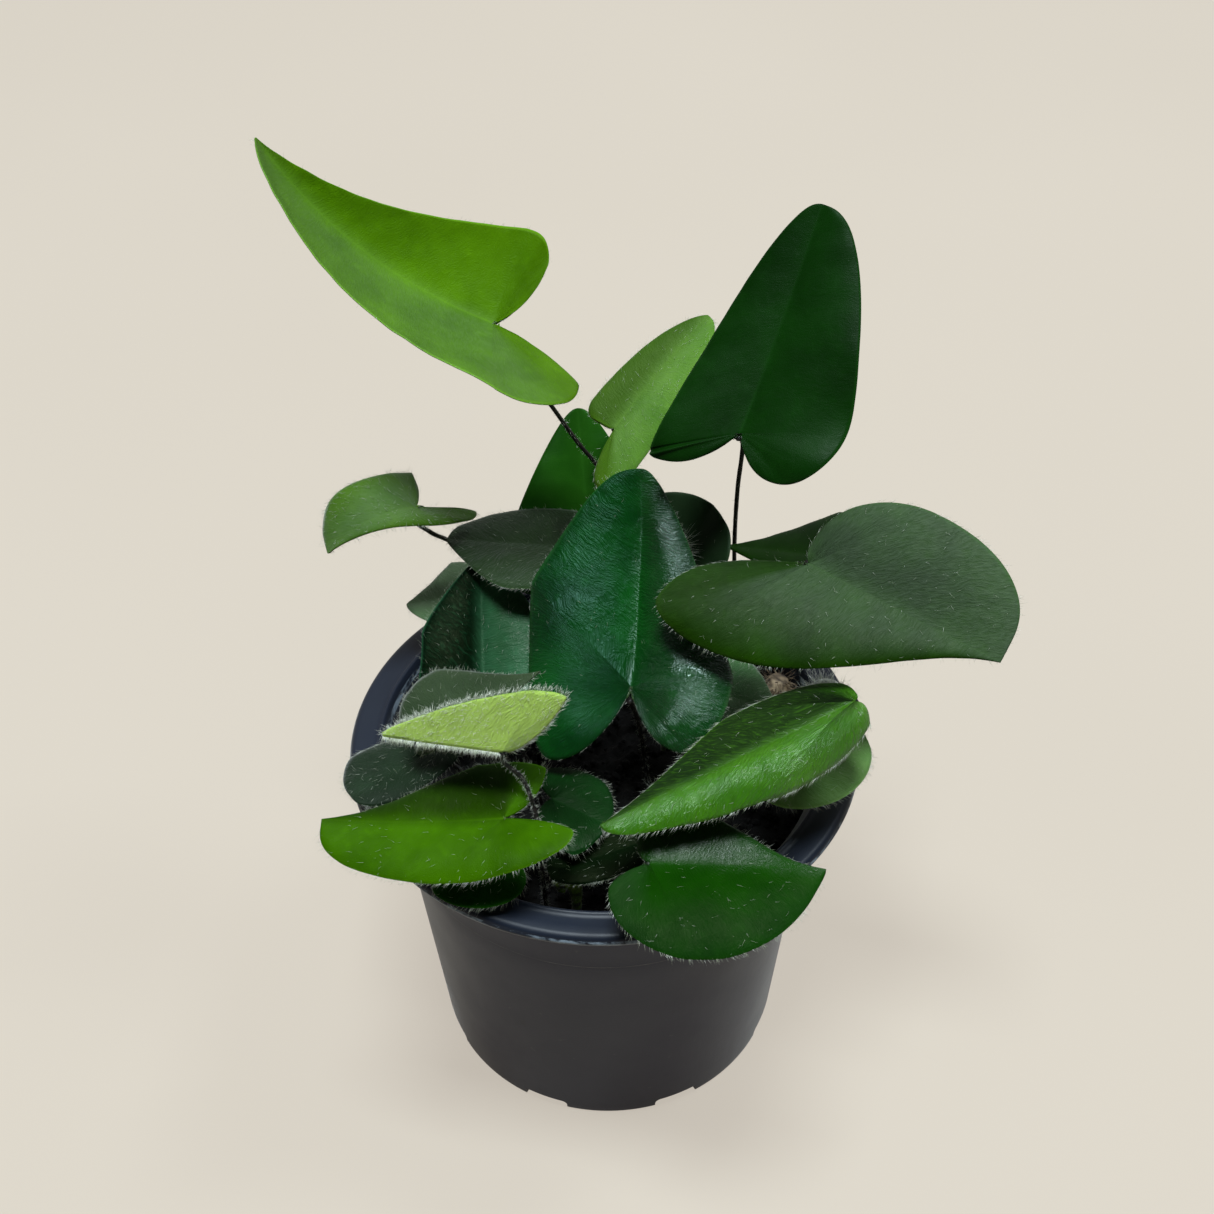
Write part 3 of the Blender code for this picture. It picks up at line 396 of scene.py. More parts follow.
def make_leaf_surface_group():
    """Midrib, margin, tints, painted shade, pale painted sheen and leathery wrinkles of a blade,
    read from its vein map in mm.
    """
    tree, given, result = new_group(
        "leaf_surface",
        [("Deep", "NodeSocketColor", (0, 0.1, 0, 1)), ("Fresh", "NodeSocketColor", (0, 0.3, 0, 1)),
         ("Rib", "NodeSocketColor", (0.3, 0.4, 0.1, 1)), ("Streak", "NodeSocketFloat", 0.5),
         ("Smooth", "NodeSocketFloat", 0.3), ("Rough", "NodeSocketFloat", 0.5),
         ("Left", "NodeSocketVector", (1, 0, 0)), ("Right", "NodeSocketVector", (1, 0, 0)),
         ("Left bloom", "NodeSocketVector", (0, 0, 0)),
         ("Right bloom", "NodeSocketVector", (0, 0, 0))],
        [("Color", "NodeSocketColor"), ("Roughness", "NodeSocketFloat"),
         ("Coat", "NodeSocketFloat"), ("Height", "NodeSocketFloat")])
    veins = add_node(tree, "ShaderNodeUVMap", uv_map="veins").outputs[0]
    place = add_node(tree, "ShaderNodeUVMap", uv_map="place").outputs[0]
    where = object_place(tree)
    along, away, _ = split(tree, veins)
    across, length, _ = split(tree, place)
    swerve = times(tree, spread(tree, grain(tree, where, 160.0), 0.3, 0.7, -1.0, 1.0), 0.8)
    shifted = add_node(tree, "ShaderNodeCombineXYZ", {0: plus(tree, along, swerve), 1: away})
    shifted = shifted.outputs[0]
    wrinkles = grain(tree, stretched(tree, shifted, (1, 0.24, 1)), 2.1, 3.0, 0.60)
    pores = grain(tree, stretched(tree, shifted, (1, 0.6, 1)), 5.0)
    patches = grain(tree, where, 75.0, 3.0, 0.55)
    flecks = grain(tree, where, 420.0)
    rib = times(tree, spread(tree, away, 0.08, 0.45, 1.0, 0.0),
                spread(tree, length, 0.35, 0.85, 0.12, 1.0))
    edge = spread(tree, across, 0.965, 1.0)
    tint = plus(tree, spread(tree, patches, 0.34, 0.68, 0.0, 0.62),
                spread(tree, away, 0.0, 5.0, 0.22, 0.0), True)
    tint = plus(tree, tint, spread(tree, flecks, 0.55, 0.8, 0.0, 0.25), True)
    colour = mixed(tree, tint, given["Deep"], given["Fresh"])
    on_left = maths(tree, "GREATER_THAN", along, LEFT_RUN / 2)
    turned = times(tree, away, spread(tree, on_left, 0.0, 1.0, -1.0, 1.0))
    lit = add_node(tree, "ShaderNodeMapRange", {"Value": turned, "From Min": -3.5,
                   "From Max": 3.5}, interpolation_type="SMOOTHSTEP").outputs[0]
    lobes = spread(tree, length, 0.60, 0.76)
    # Each half's shade factor is painted shade, painted light where above 1, left off on the lobes
    shade, matt, coat = split(tree, between_vectors(tree, lit, given["Right"], given["Left"]))
    shade = between(tree, lobes, shade, 1.0)
    grey = add_node(tree, "ShaderNodeCombineColor", {0: shade, 1: shade, 2: shade}).outputs[0]
    colour = mixed(tree, 1.0, colour, grey, "MULTIPLY")
    ridges = spread(tree, wrinkles, 0.50, 0.72, 0.0, 0.25)
    colour = mixed(tree, times(tree, ridges, given["Streak"]), colour, given["Fresh"])
    colour = mixed(tree, times(tree, rib, 0.40), colour, given["Rib"])
    colour = mixed(tree, times(tree, edge, 0.45), colour, given["Rib"])
    # Pale painted sheen on each half, at the midrib, the margin and the lobe, broken up by the
    # wrinkles
    inner, outer, behind = split(tree, between_vectors(tree, lit, given["Right bloom"],
                                                       given["Left bloom"]))
    painted_sheen_share = between(tree, spread(tree, across, 0.35, 0.95), inner, outer)
    painted_sheen_share = between(tree, lobes, painted_sheen_share, behind)
    painted_sheen_share = times(tree, painted_sheen_share, spread(tree, wrinkles, 0.35, 0.65, 0.7, 1.3))
    colour = mixed(tree, painted_sheen_share, colour, display(*PAINTED_SHEEN_COLOUR))
    gloss = spread(tree, wrinkles, 0.32, 0.66)
    rough = plus(tree, between(tree, gloss, given["Rough"], given["Smooth"]), matt, True)
    height = plus(tree, times(tree, wrinkles, given["Streak"]), times(tree, pores, 0.25))
    join(tree, {"Color": colour, "Roughness": rough, "Coat": coat, "Height": height}, result)
    return tree


def make_speckles_group():
    """Two colours in patches of one noise, and that noise as a height."""
    tree, given, result = new_group(
        "speckles",
        [("Dark", "NodeSocketColor", (0, 0, 0, 1)), ("Light", "NodeSocketColor", (1, 1, 1, 1)),
         ("Scale", "NodeSocketFloat", 500.0), ("Detail", "NodeSocketFloat", 2.0),
         ("Ragged", "NodeSocketFloat", 0.5), ("Low", "NodeSocketFloat", 0.35),
         ("High", "NodeSocketFloat", 0.65)],
        [("Color", "NodeSocketColor"), ("Height", "NodeSocketFloat")])
    lumps = grain(tree, object_place(tree), given["Scale"], given["Detail"], given["Ragged"])
    share = spread(tree, lumps, given["Low"], given["High"])
    join(tree, {"Color": mixed(tree, share, given["Dark"], given["Light"]), "Height": lumps},
         result)
    return tree


def new_material(name, settings):
    """A material, its tree and its shader's sockets, some of them set to plain values."""
    made = bpy.data.materials.new(name)
    made.use_nodes = True
    sockets = made.node_tree.nodes["Principled BSDF"].inputs
    for label, value in settings.items():
        sockets[label].default_value = value
    return made, made.node_tree, sockets


def join(tree, sources, sockets):
    """Link each source to the socket of its name."""
    for label, source in sources.items():
        tree.links.new(source, sockets[label])


def bumped(tree, height, strength, depth):
    return add_node(tree, "ShaderNodeBump", {"Height": height, "Strength": strength,
                    "Distance": depth}).outputs[0]


def leaf_material(name, group, deep, fresh, rib, streak, kind, halves=USUAL):
    """Finish of one face of a blade; halves gives each half's painted shade, matt, gloss and
    painted sheen.
    """
    made, tree, shader = new_material(name, {
        "Sheen Weight": kind["velvet"], "Sheen Roughness": 0.45, "Coat Roughness": 0.27,
        "Specular IOR Level": kind["shine"], "Specular Tint": kind["gleam"] + (1.0,)})
    given = {"Deep": display(*deep), "Fresh": display(*fresh), "Rib": display(*rib),
             "Streak": streak, "Smooth": kind["rough"][0], "Rough": kind["rough"][1]}
    for pick, label in enumerate(("Left", "Right")):
        given[label] = [halves[key][pick] for key in ("shade", "matt", "coat")]
        given[label + " bloom"] = halves["bloom"][pick]
    surface = add_node(tree, "ShaderNodeGroup", given, node_tree=group).outputs
    bump = bumped(tree, surface["Height"], kind["bump"], WRINKLE_DEPTH)
    join(tree, {"Base Color": surface["Color"], "Roughness": surface["Roughness"],
                "Coat Weight": surface["Coat"], "Normal": bump, "Coat Normal": bump}, shader)
    return made


def speckled_material(name, group, dark, light, roughness, sheen=0.0, bump=0.0,
                      depth=0.0003, **given):
    """A finish of two display colours from the speckles group, rough by the same noise."""
    made, tree, shader = new_material(name, {"Roughness": roughness[0], "Sheen Weight": sheen})
    given.update({"Dark": display(*dark), "Light": display(*light)})
    surface = add_node(tree, "ShaderNodeGroup", given, node_tree=group).outputs
    join(tree, {"Base Color": surface["Color"]}, shader)
    if roughness[0] != roughness[1]:
        rough = spread(tree, surface["Height"], 0.3, 0.7, *roughness)
        join(tree, {"Roughness": rough}, shader)
    if bump:
        join(tree, {"Normal": bumped(tree, surface["Height"], bump, depth)}, shader)
    return made


def band(tree, value, middle, reach):
    """1 within reach of middle, else 0."""
    found = maths(tree, "COMPARE", value, middle)
    found.node.inputs[2].default_value = reach
    return found


def pot_material():
    """Mottled charcoal plastic: dusty, scuffed lip, worn ring below; painted reflection on the lip,
    painted shade inside.
    """
    made, tree, shader = new_material("nursery_pot_plastic", {
        "Specular IOR Level": 0.45, "Sheen Weight": 0.55, "Sheen Roughness": 0.3})
    where = object_place(tree)
    x, y, height = split(tree, where)
    radius = maths(tree, "SQRT", plus(tree, times(tree, x, x), times(tree, y, y)))
    colour = mixed(tree, spread(tree, grain(tree, where, 28.0, 3.0), 0.3, 0.7),
                   display(39, 41, 61), display(54, 54, 73))
    spots = spread(tree, grain(tree, where, 130.0), 0.70, 0.78, 0.0, 0.6)
    colour = mixed(tree, spots, colour, display(20, 20, 22))
    dust = spread(tree, grain(tree, where, 420.0, 4.0, 0.7), 0.66, 0.74, 0.0, 0.30)
    colour = mixed(tree, dust, colour, display(132, 128, 120))
    # Painted reflection: the lip is tinted navy blue for the bluish light it mirrors, and made
    # rougher below
    lip = spread(tree, height, (RIM_HEIGHT - 4.2) * MM, (RIM_HEIGHT - 2.8) * MM)
    colour = mixed(tree, lip, colour, display(19, 28, 44))
    scuffed = grain(tree, stretched(tree, where, (1, 1, 2.5)), 210.0, 4.0, 0.7)
    lip_edge = band(tree, height, (RIM_HEIGHT - 1.9) * MM, 0.0006)
    scuff = times(tree, spread(tree, scuffed, 0.46, 0.60), lip_edge)
    colour = mixed(tree, times(tree, scuff, 0.85), colour, display(150, 166, 180))
    ring = band(tree, height, (RIM_HEIGHT - COLLAR_DROP + 0.3) * MM, 0.0003)
    ring = times(tree, ring, spread(tree, scuffed, 0.40, 0.62, 0.12, 0.5))
    colour = mixed(tree, ring, colour, display(140, 138, 134))
    # Painted shade: the inside of the wall and the throat under the lip are made near black and
    # rougher
    slope = times(tree, height, (WALL_TOP_RADIUS - BASE_RADIUS) / (RIM_HEIGHT - RIM_DEPTH))
    wall_line = plus(tree, slope, (BASE_RADIUS - WALL / 2 + 0.05) * MM)
    inside = times(tree, maths(tree, "LESS_THAN", radius, wall_line),
                   maths(tree, "GREATER_THAN", height, 0.001))
    throat = spread(tree, radius, (WALL_TOP_RADIUS - 0.3) * MM, (WALL_TOP_RADIUS + 2.7) * MM, 1, 0)
    for none, full in ((1.5, 4.0), (6.5, 5.5)):
        throat = times(tree, throat, spread(tree, height, (RIM_HEIGHT - none) * MM,
                                            (RIM_HEIGHT - full) * MM))
    painted_shade_inside = maths(tree, "MAXIMUM", inside, throat)
    colour = mixed(tree, painted_shade_inside, colour, display(7, 7, 8))
    rough = spread(tree, grain(tree, where, 60.0, 4.0, 0.6), 0.3, 0.7, 0.28, 0.40)
    rough = plus(tree, rough, times(tree, lip, 0.14))
    rough = plus(tree, rough, times(tree, painted_shade_inside, 0.5))
    marks = grain(tree, stretched(tree, where, (1, 1, 0.15)), 500.0, 3.0)
    moulded = times(tree, grain(tree, where, 2600.0), 0.6)
    bump = bumped(tree, plus(tree, marks, moulded), 0.10, 0.0002)
    join(tree, {"Base Color": colour, "Roughness": rough, "Normal": bump}, shader)
    return made


def floor_material():
    """Pale floor that glows a little, more evenly for the camera than for the plant."""
    made, tree, shader = new_material("pale_floor", {
        "Roughness": 0.9, "Specular IOR Level": 0.1, "Emission Strength": 0.86})
    tint = spread(tree, grain(tree, object_place(tree), 3.0), 0.3, 0.7)
    colour = mixed(tree, tint, display(117, 111, 102), display(121, 115, 106))
    seen = add_node(tree, "ShaderNodeLightPath").outputs["Is Camera Ray"]
    glow = mixed(tree, tint, display(205, 197, 185), display(207, 199, 187))
    glow = mixed(tree, seen, display(128, 122, 114), glow)
    join(tree, {"Base Color": colour, "Emission Color": glow}, shader)
    return made


def link(made):
    bpy.context.scene.collection.objects.link(made)
    return made


def from_bmesh(name, bm, finishes, smooth=True):
    mesh = bpy.data.meshes.new(name)
    bm.to_mesh(mesh)
    bm.free()
    for finish in finishes:
        mesh.materials.append(finish)
    if smooth:
        mesh.shade_smooth()
    return link(bpy.data.objects.new(name, mesh))


def distances(line):
    """How far along a line each of its points lies."""
    return np.concatenate([[0], np.cumsum(np.linalg.norm(np.diff(line, axis=0), axis=1))])


def sampled(at, run, values):
    """Points or directions at the distances at along a line whose points lie at run."""
    return np.stack([np.interp(at, run, values[:, k]) for k in range(3)], -1)


def unit(vectors):
    return vectors / np.maximum(np.linalg.norm(vectors, axis=-1, keepdims=True), 1e-9)


def bezier(p0, p1, p2, p3, t):
    t = np.asarray(t)[:, None]
    s = 1 - t
    return (s ** 3 * np.asarray(p0) + 3 * s * s * t * np.asarray(p1)
            + 3 * s * t * t * np.asarray(p2) + t ** 3 * np.asarray(p3))


def half_outline(frond, side, length, steps):
    """Margin of one half from the tip round to the sinus, and where each vein leaves the rib."""
    width, widest, lobe, lobe_end = frond["left"] if side > 0 else frond["right"]
    pick = 0 if side > 0 else 1
    angle = math.radians(frond["tip_angle"][pick])
    full = frond["fullness"][pick]
    tip = np.array((length, 0.0))
    belly = np.array((float(widest), width))
    heel = np.array((-float(lobe), float(lobe_end)))
    reach = length - widest
    lead = np.array((-math.cos(angle), math.sin(angle))) * 0.3 * reach
    first = np.linspace(0, 1, steps[0] + 1)
    second = np.linspace(0, 1, steps[1] + 1)[1:]
    third = np.linspace(0, 1, steps[2] + 1)[1:]
    back = np.array((0.55 * (widest + lobe), 0.0))
    rise = np.array((0.0, 0.55 * (width - lobe_end)))
    turn_in = np.array((0.0, frond["heel"] * lobe_end))
    inner = np.array((-frond["notch"] * lobe, 0.1 * lobe_end))
    margin = np.vstack([
        bezier(tip, tip + lead, belly + np.array((full * reach, 0)), belly, first),
        bezier(belly, belly - back, heel + rise, heel, second),
        bezier(heel, heel - turn_in, inner, (0.0, 0.0), third)])
    feet = np.concatenate([length * (1 - first), np.zeros(steps[1] + steps[2])])
    return margin, feet


def blade_axes(frond):
    """Unit vectors of a blade: along the midrib, to its left, and up out of its upper face."""
    along = (Vector(frond["tip"]) - Vector(frond["sinus"])).normalized()
    up = Vector((0, 0, 1))
    up = (up - along * up.dot(along)).normalized()
    left = up.cross(along)
    turn = Matrix.Rotation(math.radians(frond["roll"]), 3, along)
    return np.array(along), np.array(turn @ left), np.array(turn @ up)


def rise_angle(frond, pick):
    """Angle in radians at which a half leaves the midrib."""
    return math.radians(frond["fold"][pick] + frond["camber"][pick] / 2)


def bend(x, y, t, side, frond, length, arch):
    """Bend a point of one flat half blade: way out, height, slope of the rib, forward and up."""
    pick = 0 if side > 0 else 1
    half = arch / 2
    lobe = max((frond["left"], frond["right"])[pick][2], 2.0)
    droop = math.radians(frond["droop"][pick]) / lobe or 1e-5
    if x >= 0:
        slope = half - arch * x / length
        forward = (math.sin(half) - math.sin(slope)) * length / arch
        rise = (math.cos(slope) - math.cos(half)) * length / arch
    else:
        slope = half - droop * x
        forward = (math.sin(half) - math.sin(slope)) / droop
        rise = (math.cos(slope) - math.cos(half)) / droop
    camber = math.radians(frond["camber"][pick]) or 1e-4
    start = rise_angle(frond, pick)
    end = start - camber * t
    out = y * (math.sin(start) - math.sin(end)) / camber
    lift = y * (math.cos(end) - math.cos(start)) / camber
    return out * side, lift, slope, forward, rise


def blunted(x, length, blunt):
    """Slide a point near the tip forward so that a pointed tip becomes round, in mm."""
    left = length - x
    return x + (blunt - (math.hypot(left, blunt) - left)) * math.exp(-left / (6 * blunt))


def relief(frond, side, x, y, vein, away, t, s):
    """Height of the fine relief in mm: margin waves, swollen half, rib groove and wrinkles."""
    wave_height, waves = frond["wave"]
    phase = 0.6 if side > 0 else 2.3
    height = wave_height * math.sin(math.tau * waves * s + phase) * t * t * math.sin(math.pi * s)
    pillow = frond["pillow"][0 if side > 0 else 1]
    height += pillow * math.sin(math.pi * t) * math.sin(math.pi * s) ** 2
    for along, across, swell, radius in frond["swells"]:
        height += swell * math.exp(-((x - along) ** 2 + (y - across) ** 2) / radius ** 2)
    slope = math.sin(rise_angle(frond, 0 if side > 0 else 1))
    height -= slope * abs(y) * math.exp(-abs(y) / frond["crease"])
    height -= RIB_GROOVE * (0.25 + 0.75 * s) * math.exp(-(away / 0.8) ** 2)
    height -= MARGIN_ROLL * t ** 10
    seed = 17.0 if side > 0 else 53.0
    long_wave = noise.noise(Vector((vein * 0.20, away * 0.10, seed)))
    wrinkle = noise.noise(Vector((vein * 0.60, away * 0.20, seed + 9)))
    height += LONG_WAVES * long_wave * t
    height += WRINKLES * frond["streak"] * wrinkle * min(1.0, away / 2.0)
    return height


def leaf_sheet(frond, steps, rows):
    """Upper face of a blade as grids over (vein, row): points, vein map and place map."""
    along, left, up = blade_axes(frond)
    sinus = np.array(frond["sinus"], float)
    chord = float(np.linalg.norm(np.array(frond["tip"], float) - sinus))
    arch = math.radians(frond["arch"]) or 1e-4
    length = chord * (arch / 2) / math.sin(arch / 2)
    columns = sum(steps)
    points = np.zeros((columns, 2 * rows + 1, 3))
    veins = np.zeros((columns, 2 * rows + 1, 2))
    place = np.zeros((columns, 2 * rows + 1, 2))
    for side in (-1, 1):
        margin, feet = half_outline(frond, side, length, steps)
        run = distances(margin)
        reach = np.hypot(margin[:, 0] - feet, margin[:, 1])
        for c in range(columns):
            s = c / (columns - 1)
            for r in range(rows + 1):
                t = (r / rows) ** 1.15
                x = feet[c] + (margin[c, 0] - feet[c]) * t
                x = blunted(x, length, frond["tip_round"])
                away = reach[c] * t
                out, lift, slope, forward, rise = bend(x, margin[c, 1], t, side, frond, length,
                                                       arch)
                lift += relief(frond, side, x, margin[c, 1] * t * side, run[c], away, t, s)
                row = rows + side * r
                points[c, row] = (sinus + along * (forward - lift * math.sin(slope)) + left * out
                                  + up * (rise + lift * math.cos(slope)))
                veins[c, row] = (run[c] + (LEFT_RUN if side > 0 else 0), away)
                place[c, row] = (t, s)
    return points, veins, place


def build_leaf(name, frond, upper, under, edge):
    """One fine blade: a grid laid on the sheet, welded at tip and sinus, then thickened."""
    steps, rows = FINE[frond["size"]]
    points, veins, place = leaf_sheet(frond, steps, rows)
    columns = sum(steps) - 1
    bm = bmesh.new()
    bmesh.ops.create_grid(bm, x_segments=columns, y_segments=2 * rows, size=1.0)
    vein_map = bm.loops.layers.uv.new("veins")
    place_map = bm.loops.layers.uv.new("place")
    thick = bm.verts.layers.deform.new()
    spots = {vertex.index: (round((vertex.co.x + 1) / 2 * columns),
                            round((vertex.co.y + 1) * rows)) for vertex in bm.verts}
    for face in bm.faces:
        beside = 1 if face.calc_center_median().y > 0 else -1
        for loop in face.loops:
            c, r = spots[loop.vert.index]
            run = veins[c, r + beside if r == rows else r][0]
            loop[vein_map].uv = (run, veins[c, r][1])
            loop[place_map].uv = place[c, r]
    for vertex in bm.verts:
        c, r = spots[vertex.index]
        vertex.co = Vector(points[c, r]) * MM
        vertex[thick][0] = 1.0 - (1.0 - EDGE_SHARE) * place[c, r][0] ** 3
    bmesh.ops.remove_doubles(bm, verts=bm.verts, dist=0.00002)
    bmesh.ops.dissolve_degenerate(bm, dist=0.000005, edges=bm.edges)
    up = Vector(blade_axes(frond)[2])
    if sum((face.normal * face.calc_area()).dot(up) for face in bm.faces) < 0:
        bmesh.ops.reverse_faces(bm, faces=bm.faces)
    leaf = from_bmesh("leaf_" + name, bm, (upper, under, edge))
    leaf.vertex_groups.new(name="thickness")
    solid = leaf.modifiers.new("thickness", "SOLIDIFY")
    solid.thickness = BLADE_THICKNESS * MM
    solid.offset = -1.0
    solid.vertex_group = "thickness"
    solid.material_offset = 1
    solid.material_offset_rim = 2
    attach(leaf, BODY)
    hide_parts("blade_" + name)
    return points


def blend(a, b, ta, tb, t):
    return a * ((tb - t) / (tb - ta)) + b * ((t - ta) / (tb - ta))


def spline(points, steps):
    """Smooth path through the points (centripetal, so that it makes no loops)."""
    chain = [points[0] * 2 - points[1]] + list(points) + [points[-1] * 2 - points[-2]]
    path = []
    for i in range(1, len(chain) - 2):
        p = chain[i - 1:i + 3]
        knots = [0.0]
        for a, b in zip(p, p[1:]):
            knots.append(knots[-1] + max((b - a).length, 1e-6) ** 0.5)
        for step in range(steps):
            t = knots[1] + (knots[2] - knots[1]) * step / steps
            a1 = blend(p[0], p[1], knots[0], knots[1], t)
            a2 = blend(p[1], p[2], knots[1], knots[2], t)
            a3 = blend(p[2], p[3], knots[2], knots[3], t)
            b1 = blend(a1, a2, knots[0], knots[2], t)
            b2 = blend(a2, a3, knots[1], knots[3], t)
            path.append(blend(b1, b2, knots[1], knots[2], t))
    path.append(points[-1].copy())
    return path


def ring_frames(path, radii):
    """A matrix for each ring of a tube, turning as little as possible from ring to ring."""
    frames = []
    normal = None
    for i, centre in enumerate(path):
        ahead = (path[min(i + 1, len(path) - 1)] - path[max(i - 1, 0)]).normalized()
        if normal is None:
            normal = ahead.orthogonal().normalized()
        normal = (normal - ahead * normal.dot(ahead)).normalized()
        side = ahead.cross(normal)
        turn = Matrix((normal, side, ahead)).transposed().to_4x4()
        size = Matrix.Diagonal((radii[i] * MM, radii[i] * MM, 1.0, 1.0))
        frames.append(Matrix.Translation(centre * MM) @ turn @ size)
    return frames


def sweep(path, radii, sides):
    """A closed tube: a circle extruded from frame to frame."""
    frames = ring_frames(path, radii)
    bm = bmesh.new()
    bmesh.ops.create_circle(bm, cap_ends=True, segments=sides, radius=1.0, matrix=frames[0])
    edges = bm.edges[:]
    for before, after in zip(frames, frames[1:]):
        grown = bmesh.ops.extrude_edge_only(bm, edges=edges)["geom"]
        verts = [item for item in grown if isinstance(item, bmesh.types.BMVert)]
        edges = [item for item in grown if isinstance(item, bmesh.types.BMEdge)]
        bmesh.ops.transform(bm, matrix=after @ before.inverted(), verts=verts)
    bmesh.ops.contextual_create(bm, geom=edges)
    bmesh.ops.recalc_face_normals(bm, faces=bm.faces)
    return bm


def stalk_path(frond):
    """Way of a stalk: out of the blade at right angles to its midrib, then down its route."""
    along, _, up = (Vector(v) for v in blade_axes(frond))
    tilt = math.radians(frond["arch"]) / 2
    down = along * math.sin(tilt) - up * math.cos(tilt)
    sinus = Vector(frond["sinus"])
    points = [sinus + down * 0.2, sinus + down * 3.2]
    points += [Vector(p) for p in frond["route"][:-1]]
    x, y = frond["route"][-1]
    points.append(Vector((x, y, 74)))
    path = spline(points, 9)
    path.append(Vector((x, y, STALK_FOOT)))
    return path


def build_stem(name, frond, finish):
    path = stalk_path(frond)
    radii = []
    for i in range(len(path)):
        knob = 0.25 * math.exp(-(i / 2.5) ** 2)
        wobble = 0.05 * noise.noise(Vector((i * 0.7, frond["sinus"][0], 3.0)))
        radii.append(STALK_RADIUS + knob + wobble)
    stem = from_bmesh("stem_" + name, sweep(path, radii, 8), (finish,))
    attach(stem, BODY)
    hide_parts("stalk_" + name)
    return path, radii


def hair_form(flat=1.0):
    """One hair of unit length and width, thick end at 0: a three-sided cone, cut once to bend."""
    bm = bmesh.new()
    bmesh.ops.create_cone(bm, cap_ends=True, cap_tris=True, segments=3, radius1=1.0,
                          radius2=0.0, depth=1.0, matrix=Matrix.Translation((0, 0, 0.5)))
    bmesh.ops.scale(bm, vec=(1, flat, 1), verts=bm.verts)
    geometry = bm.verts[:] + bm.edges[:] + bm.faces[:]
    bmesh.ops.bisect_plane(bm, geom=geometry, plane_co=(0, 0, 0.5), plane_no=(0, 0, 1))
    for vertex in bm.verts:
        if 0.01 < vertex.co.z < 0.99:
            vertex.co.xy *= 1.0 + 0.5 * vertex.co.z
    bmesh.ops.triangulate(bm, faces=bm.faces)
    bmesh.ops.recalc_face_normals(bm, faces=bm.faces)
    bm.verts.ensure_lookup_table()
    corners = np.array([vertex.co[:] for vertex in bm.verts])
    faces = np.array([[vertex.index for vertex in face.verts] for face in bm.faces])
    bm.free()
    return corners, faces


class Hairs:
    """Collects hairs as arrays (mm) and lays one form along each of them."""

    def __init__(self, seed):
        self.draw = np.random.default_rng(seed)
        self.rows = []

    def add(self, roots, aims, length, width, bend=0.5):
        count = len(roots)
        lengths = length * self.draw.uniform(0.55, 1.15, count)
        sway = unit(self.draw.normal(size=(count, 3))) * bend
        self.rows.append((roots, unit(aims), lengths, np.full(count, width), sway))

    def build(self, name, finish, form):
        roots, aims, lengths, widths, sways = (np.concatenate(part) for part in zip(*self.rows))
        corners, faces = form
        side = unit(np.cross(aims, self.draw.normal(size=aims.shape)))
        other = np.cross(aims, side)
        x, y, z = (corners[:, k][None, :, None] for k in range(3))
        reach = lengths[:, None, None]
        girth = widths[:, None, None]
        cloud = (roots[:, None] + aims[:, None] * reach * z
                 + sways[:, None] * reach * z * z * 0.5
                 + side[:, None] * x * girth + other[:, None] * y * girth)
        shift = np.arange(len(roots))[:, None, None] * len(corners)
        mesh = bpy.data.meshes.new(name)
        mesh.from_pydata((cloud.reshape(-1, 3) * MM).tolist(), [],
                         (faces[None] + shift).reshape(-1, 3).tolist())
        mesh.materials.append(finish)
        mesh.shade_smooth()
        made = link(bpy.data.objects.new(name, mesh))
        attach(made, BODY)


def surface_hairs(hairs, points, density, kind, flip, sinus, tilt):
    """Hairs spread evenly over a sheet; flip -1 grows them from the underside."""
    corner = points[:-1, :-1]
    run = points[1:, :-1] - corner
    rise = points[:-1, 1:] - corner
    normal = np.cross(run, rise)
    area = np.linalg.norm(normal, axis=-1)
    count = int(density * area.sum())
    cells = hairs.draw.choice(area.size, count, p=(area / area.sum()).ravel())
    i, j = np.unravel_index(cells, area.shape)
    a = hairs.draw.uniform(size=(count, 1))
    b = hairs.draw.uniform(size=(count, 1))
    roots = (points[i, j] * (1 - a) * (1 - b) + points[i + 1, j] * a * (1 - b)
             + points[i, j + 1] * (1 - a) * b + points[i + 1, j + 1] * a * b)
    out = unit(normal[i, j]) * flip
    if flip < 0:
        roots = roots + out * BLADE_THICKNESS * 0.95
    away = unit(roots - np.array(sinus, float))
    aims = out * tilt + away * 0.6 + hairs.draw.normal(size=out.shape) * 0.35
    hairs.add(roots, aims, kind["face"], kind["hair"], 0.45)


def fringe_hairs(hairs, points, up, density, kind):
    """Hairs along both margins, leaning towards the tip."""
    for row, inner in ((0, 1), (-1, -2)):
        line = points[:, row]
        run = distances(line)
        count = int(density * run[-1])
        at = hairs.draw.uniform(0, run[-1], count)
        outward = unit(sampled(at, run, unit(line - points[:, inner])))
        forward = sampled(at, run, unit(np.gradient(line, axis=0)))
        aims = (outward - forward * hairs.draw.uniform(-0.1, 0.7, (count, 1))
                + np.array(up) * hairs.draw.uniform(-0.5, 0.6, (count, 1)))
        hairs.add(sampled(at, run, line) - outward * 0.05, aims, kind["fringe"], kind["hair"], 0.5)


def tube_hairs(hairs, path, radii, density, length, width, start=0.0):
    """Hairs all round a tube, from the share start of its length on."""
    line = np.array([p[:] for p in path])
    run = distances(line)
    count = int(density * run[-1] * (1 - start))
    at = hairs.draw.uniform(run[-1] * start, run[-1], count)
    ahead = unit(sampled(at, run, unit(np.gradient(line, axis=0))))
    out = unit(np.cross(ahead, hairs.draw.normal(size=ahead.shape)))
    radius = np.interp(at, run, radii)[:, None]
    aims = out + ahead * hairs.draw.uniform(-0.6, 0.6, (count, 1))
    hairs.add(sampled(at, run, line) + out * radius * 0.9, aims, length, width, 0.7)


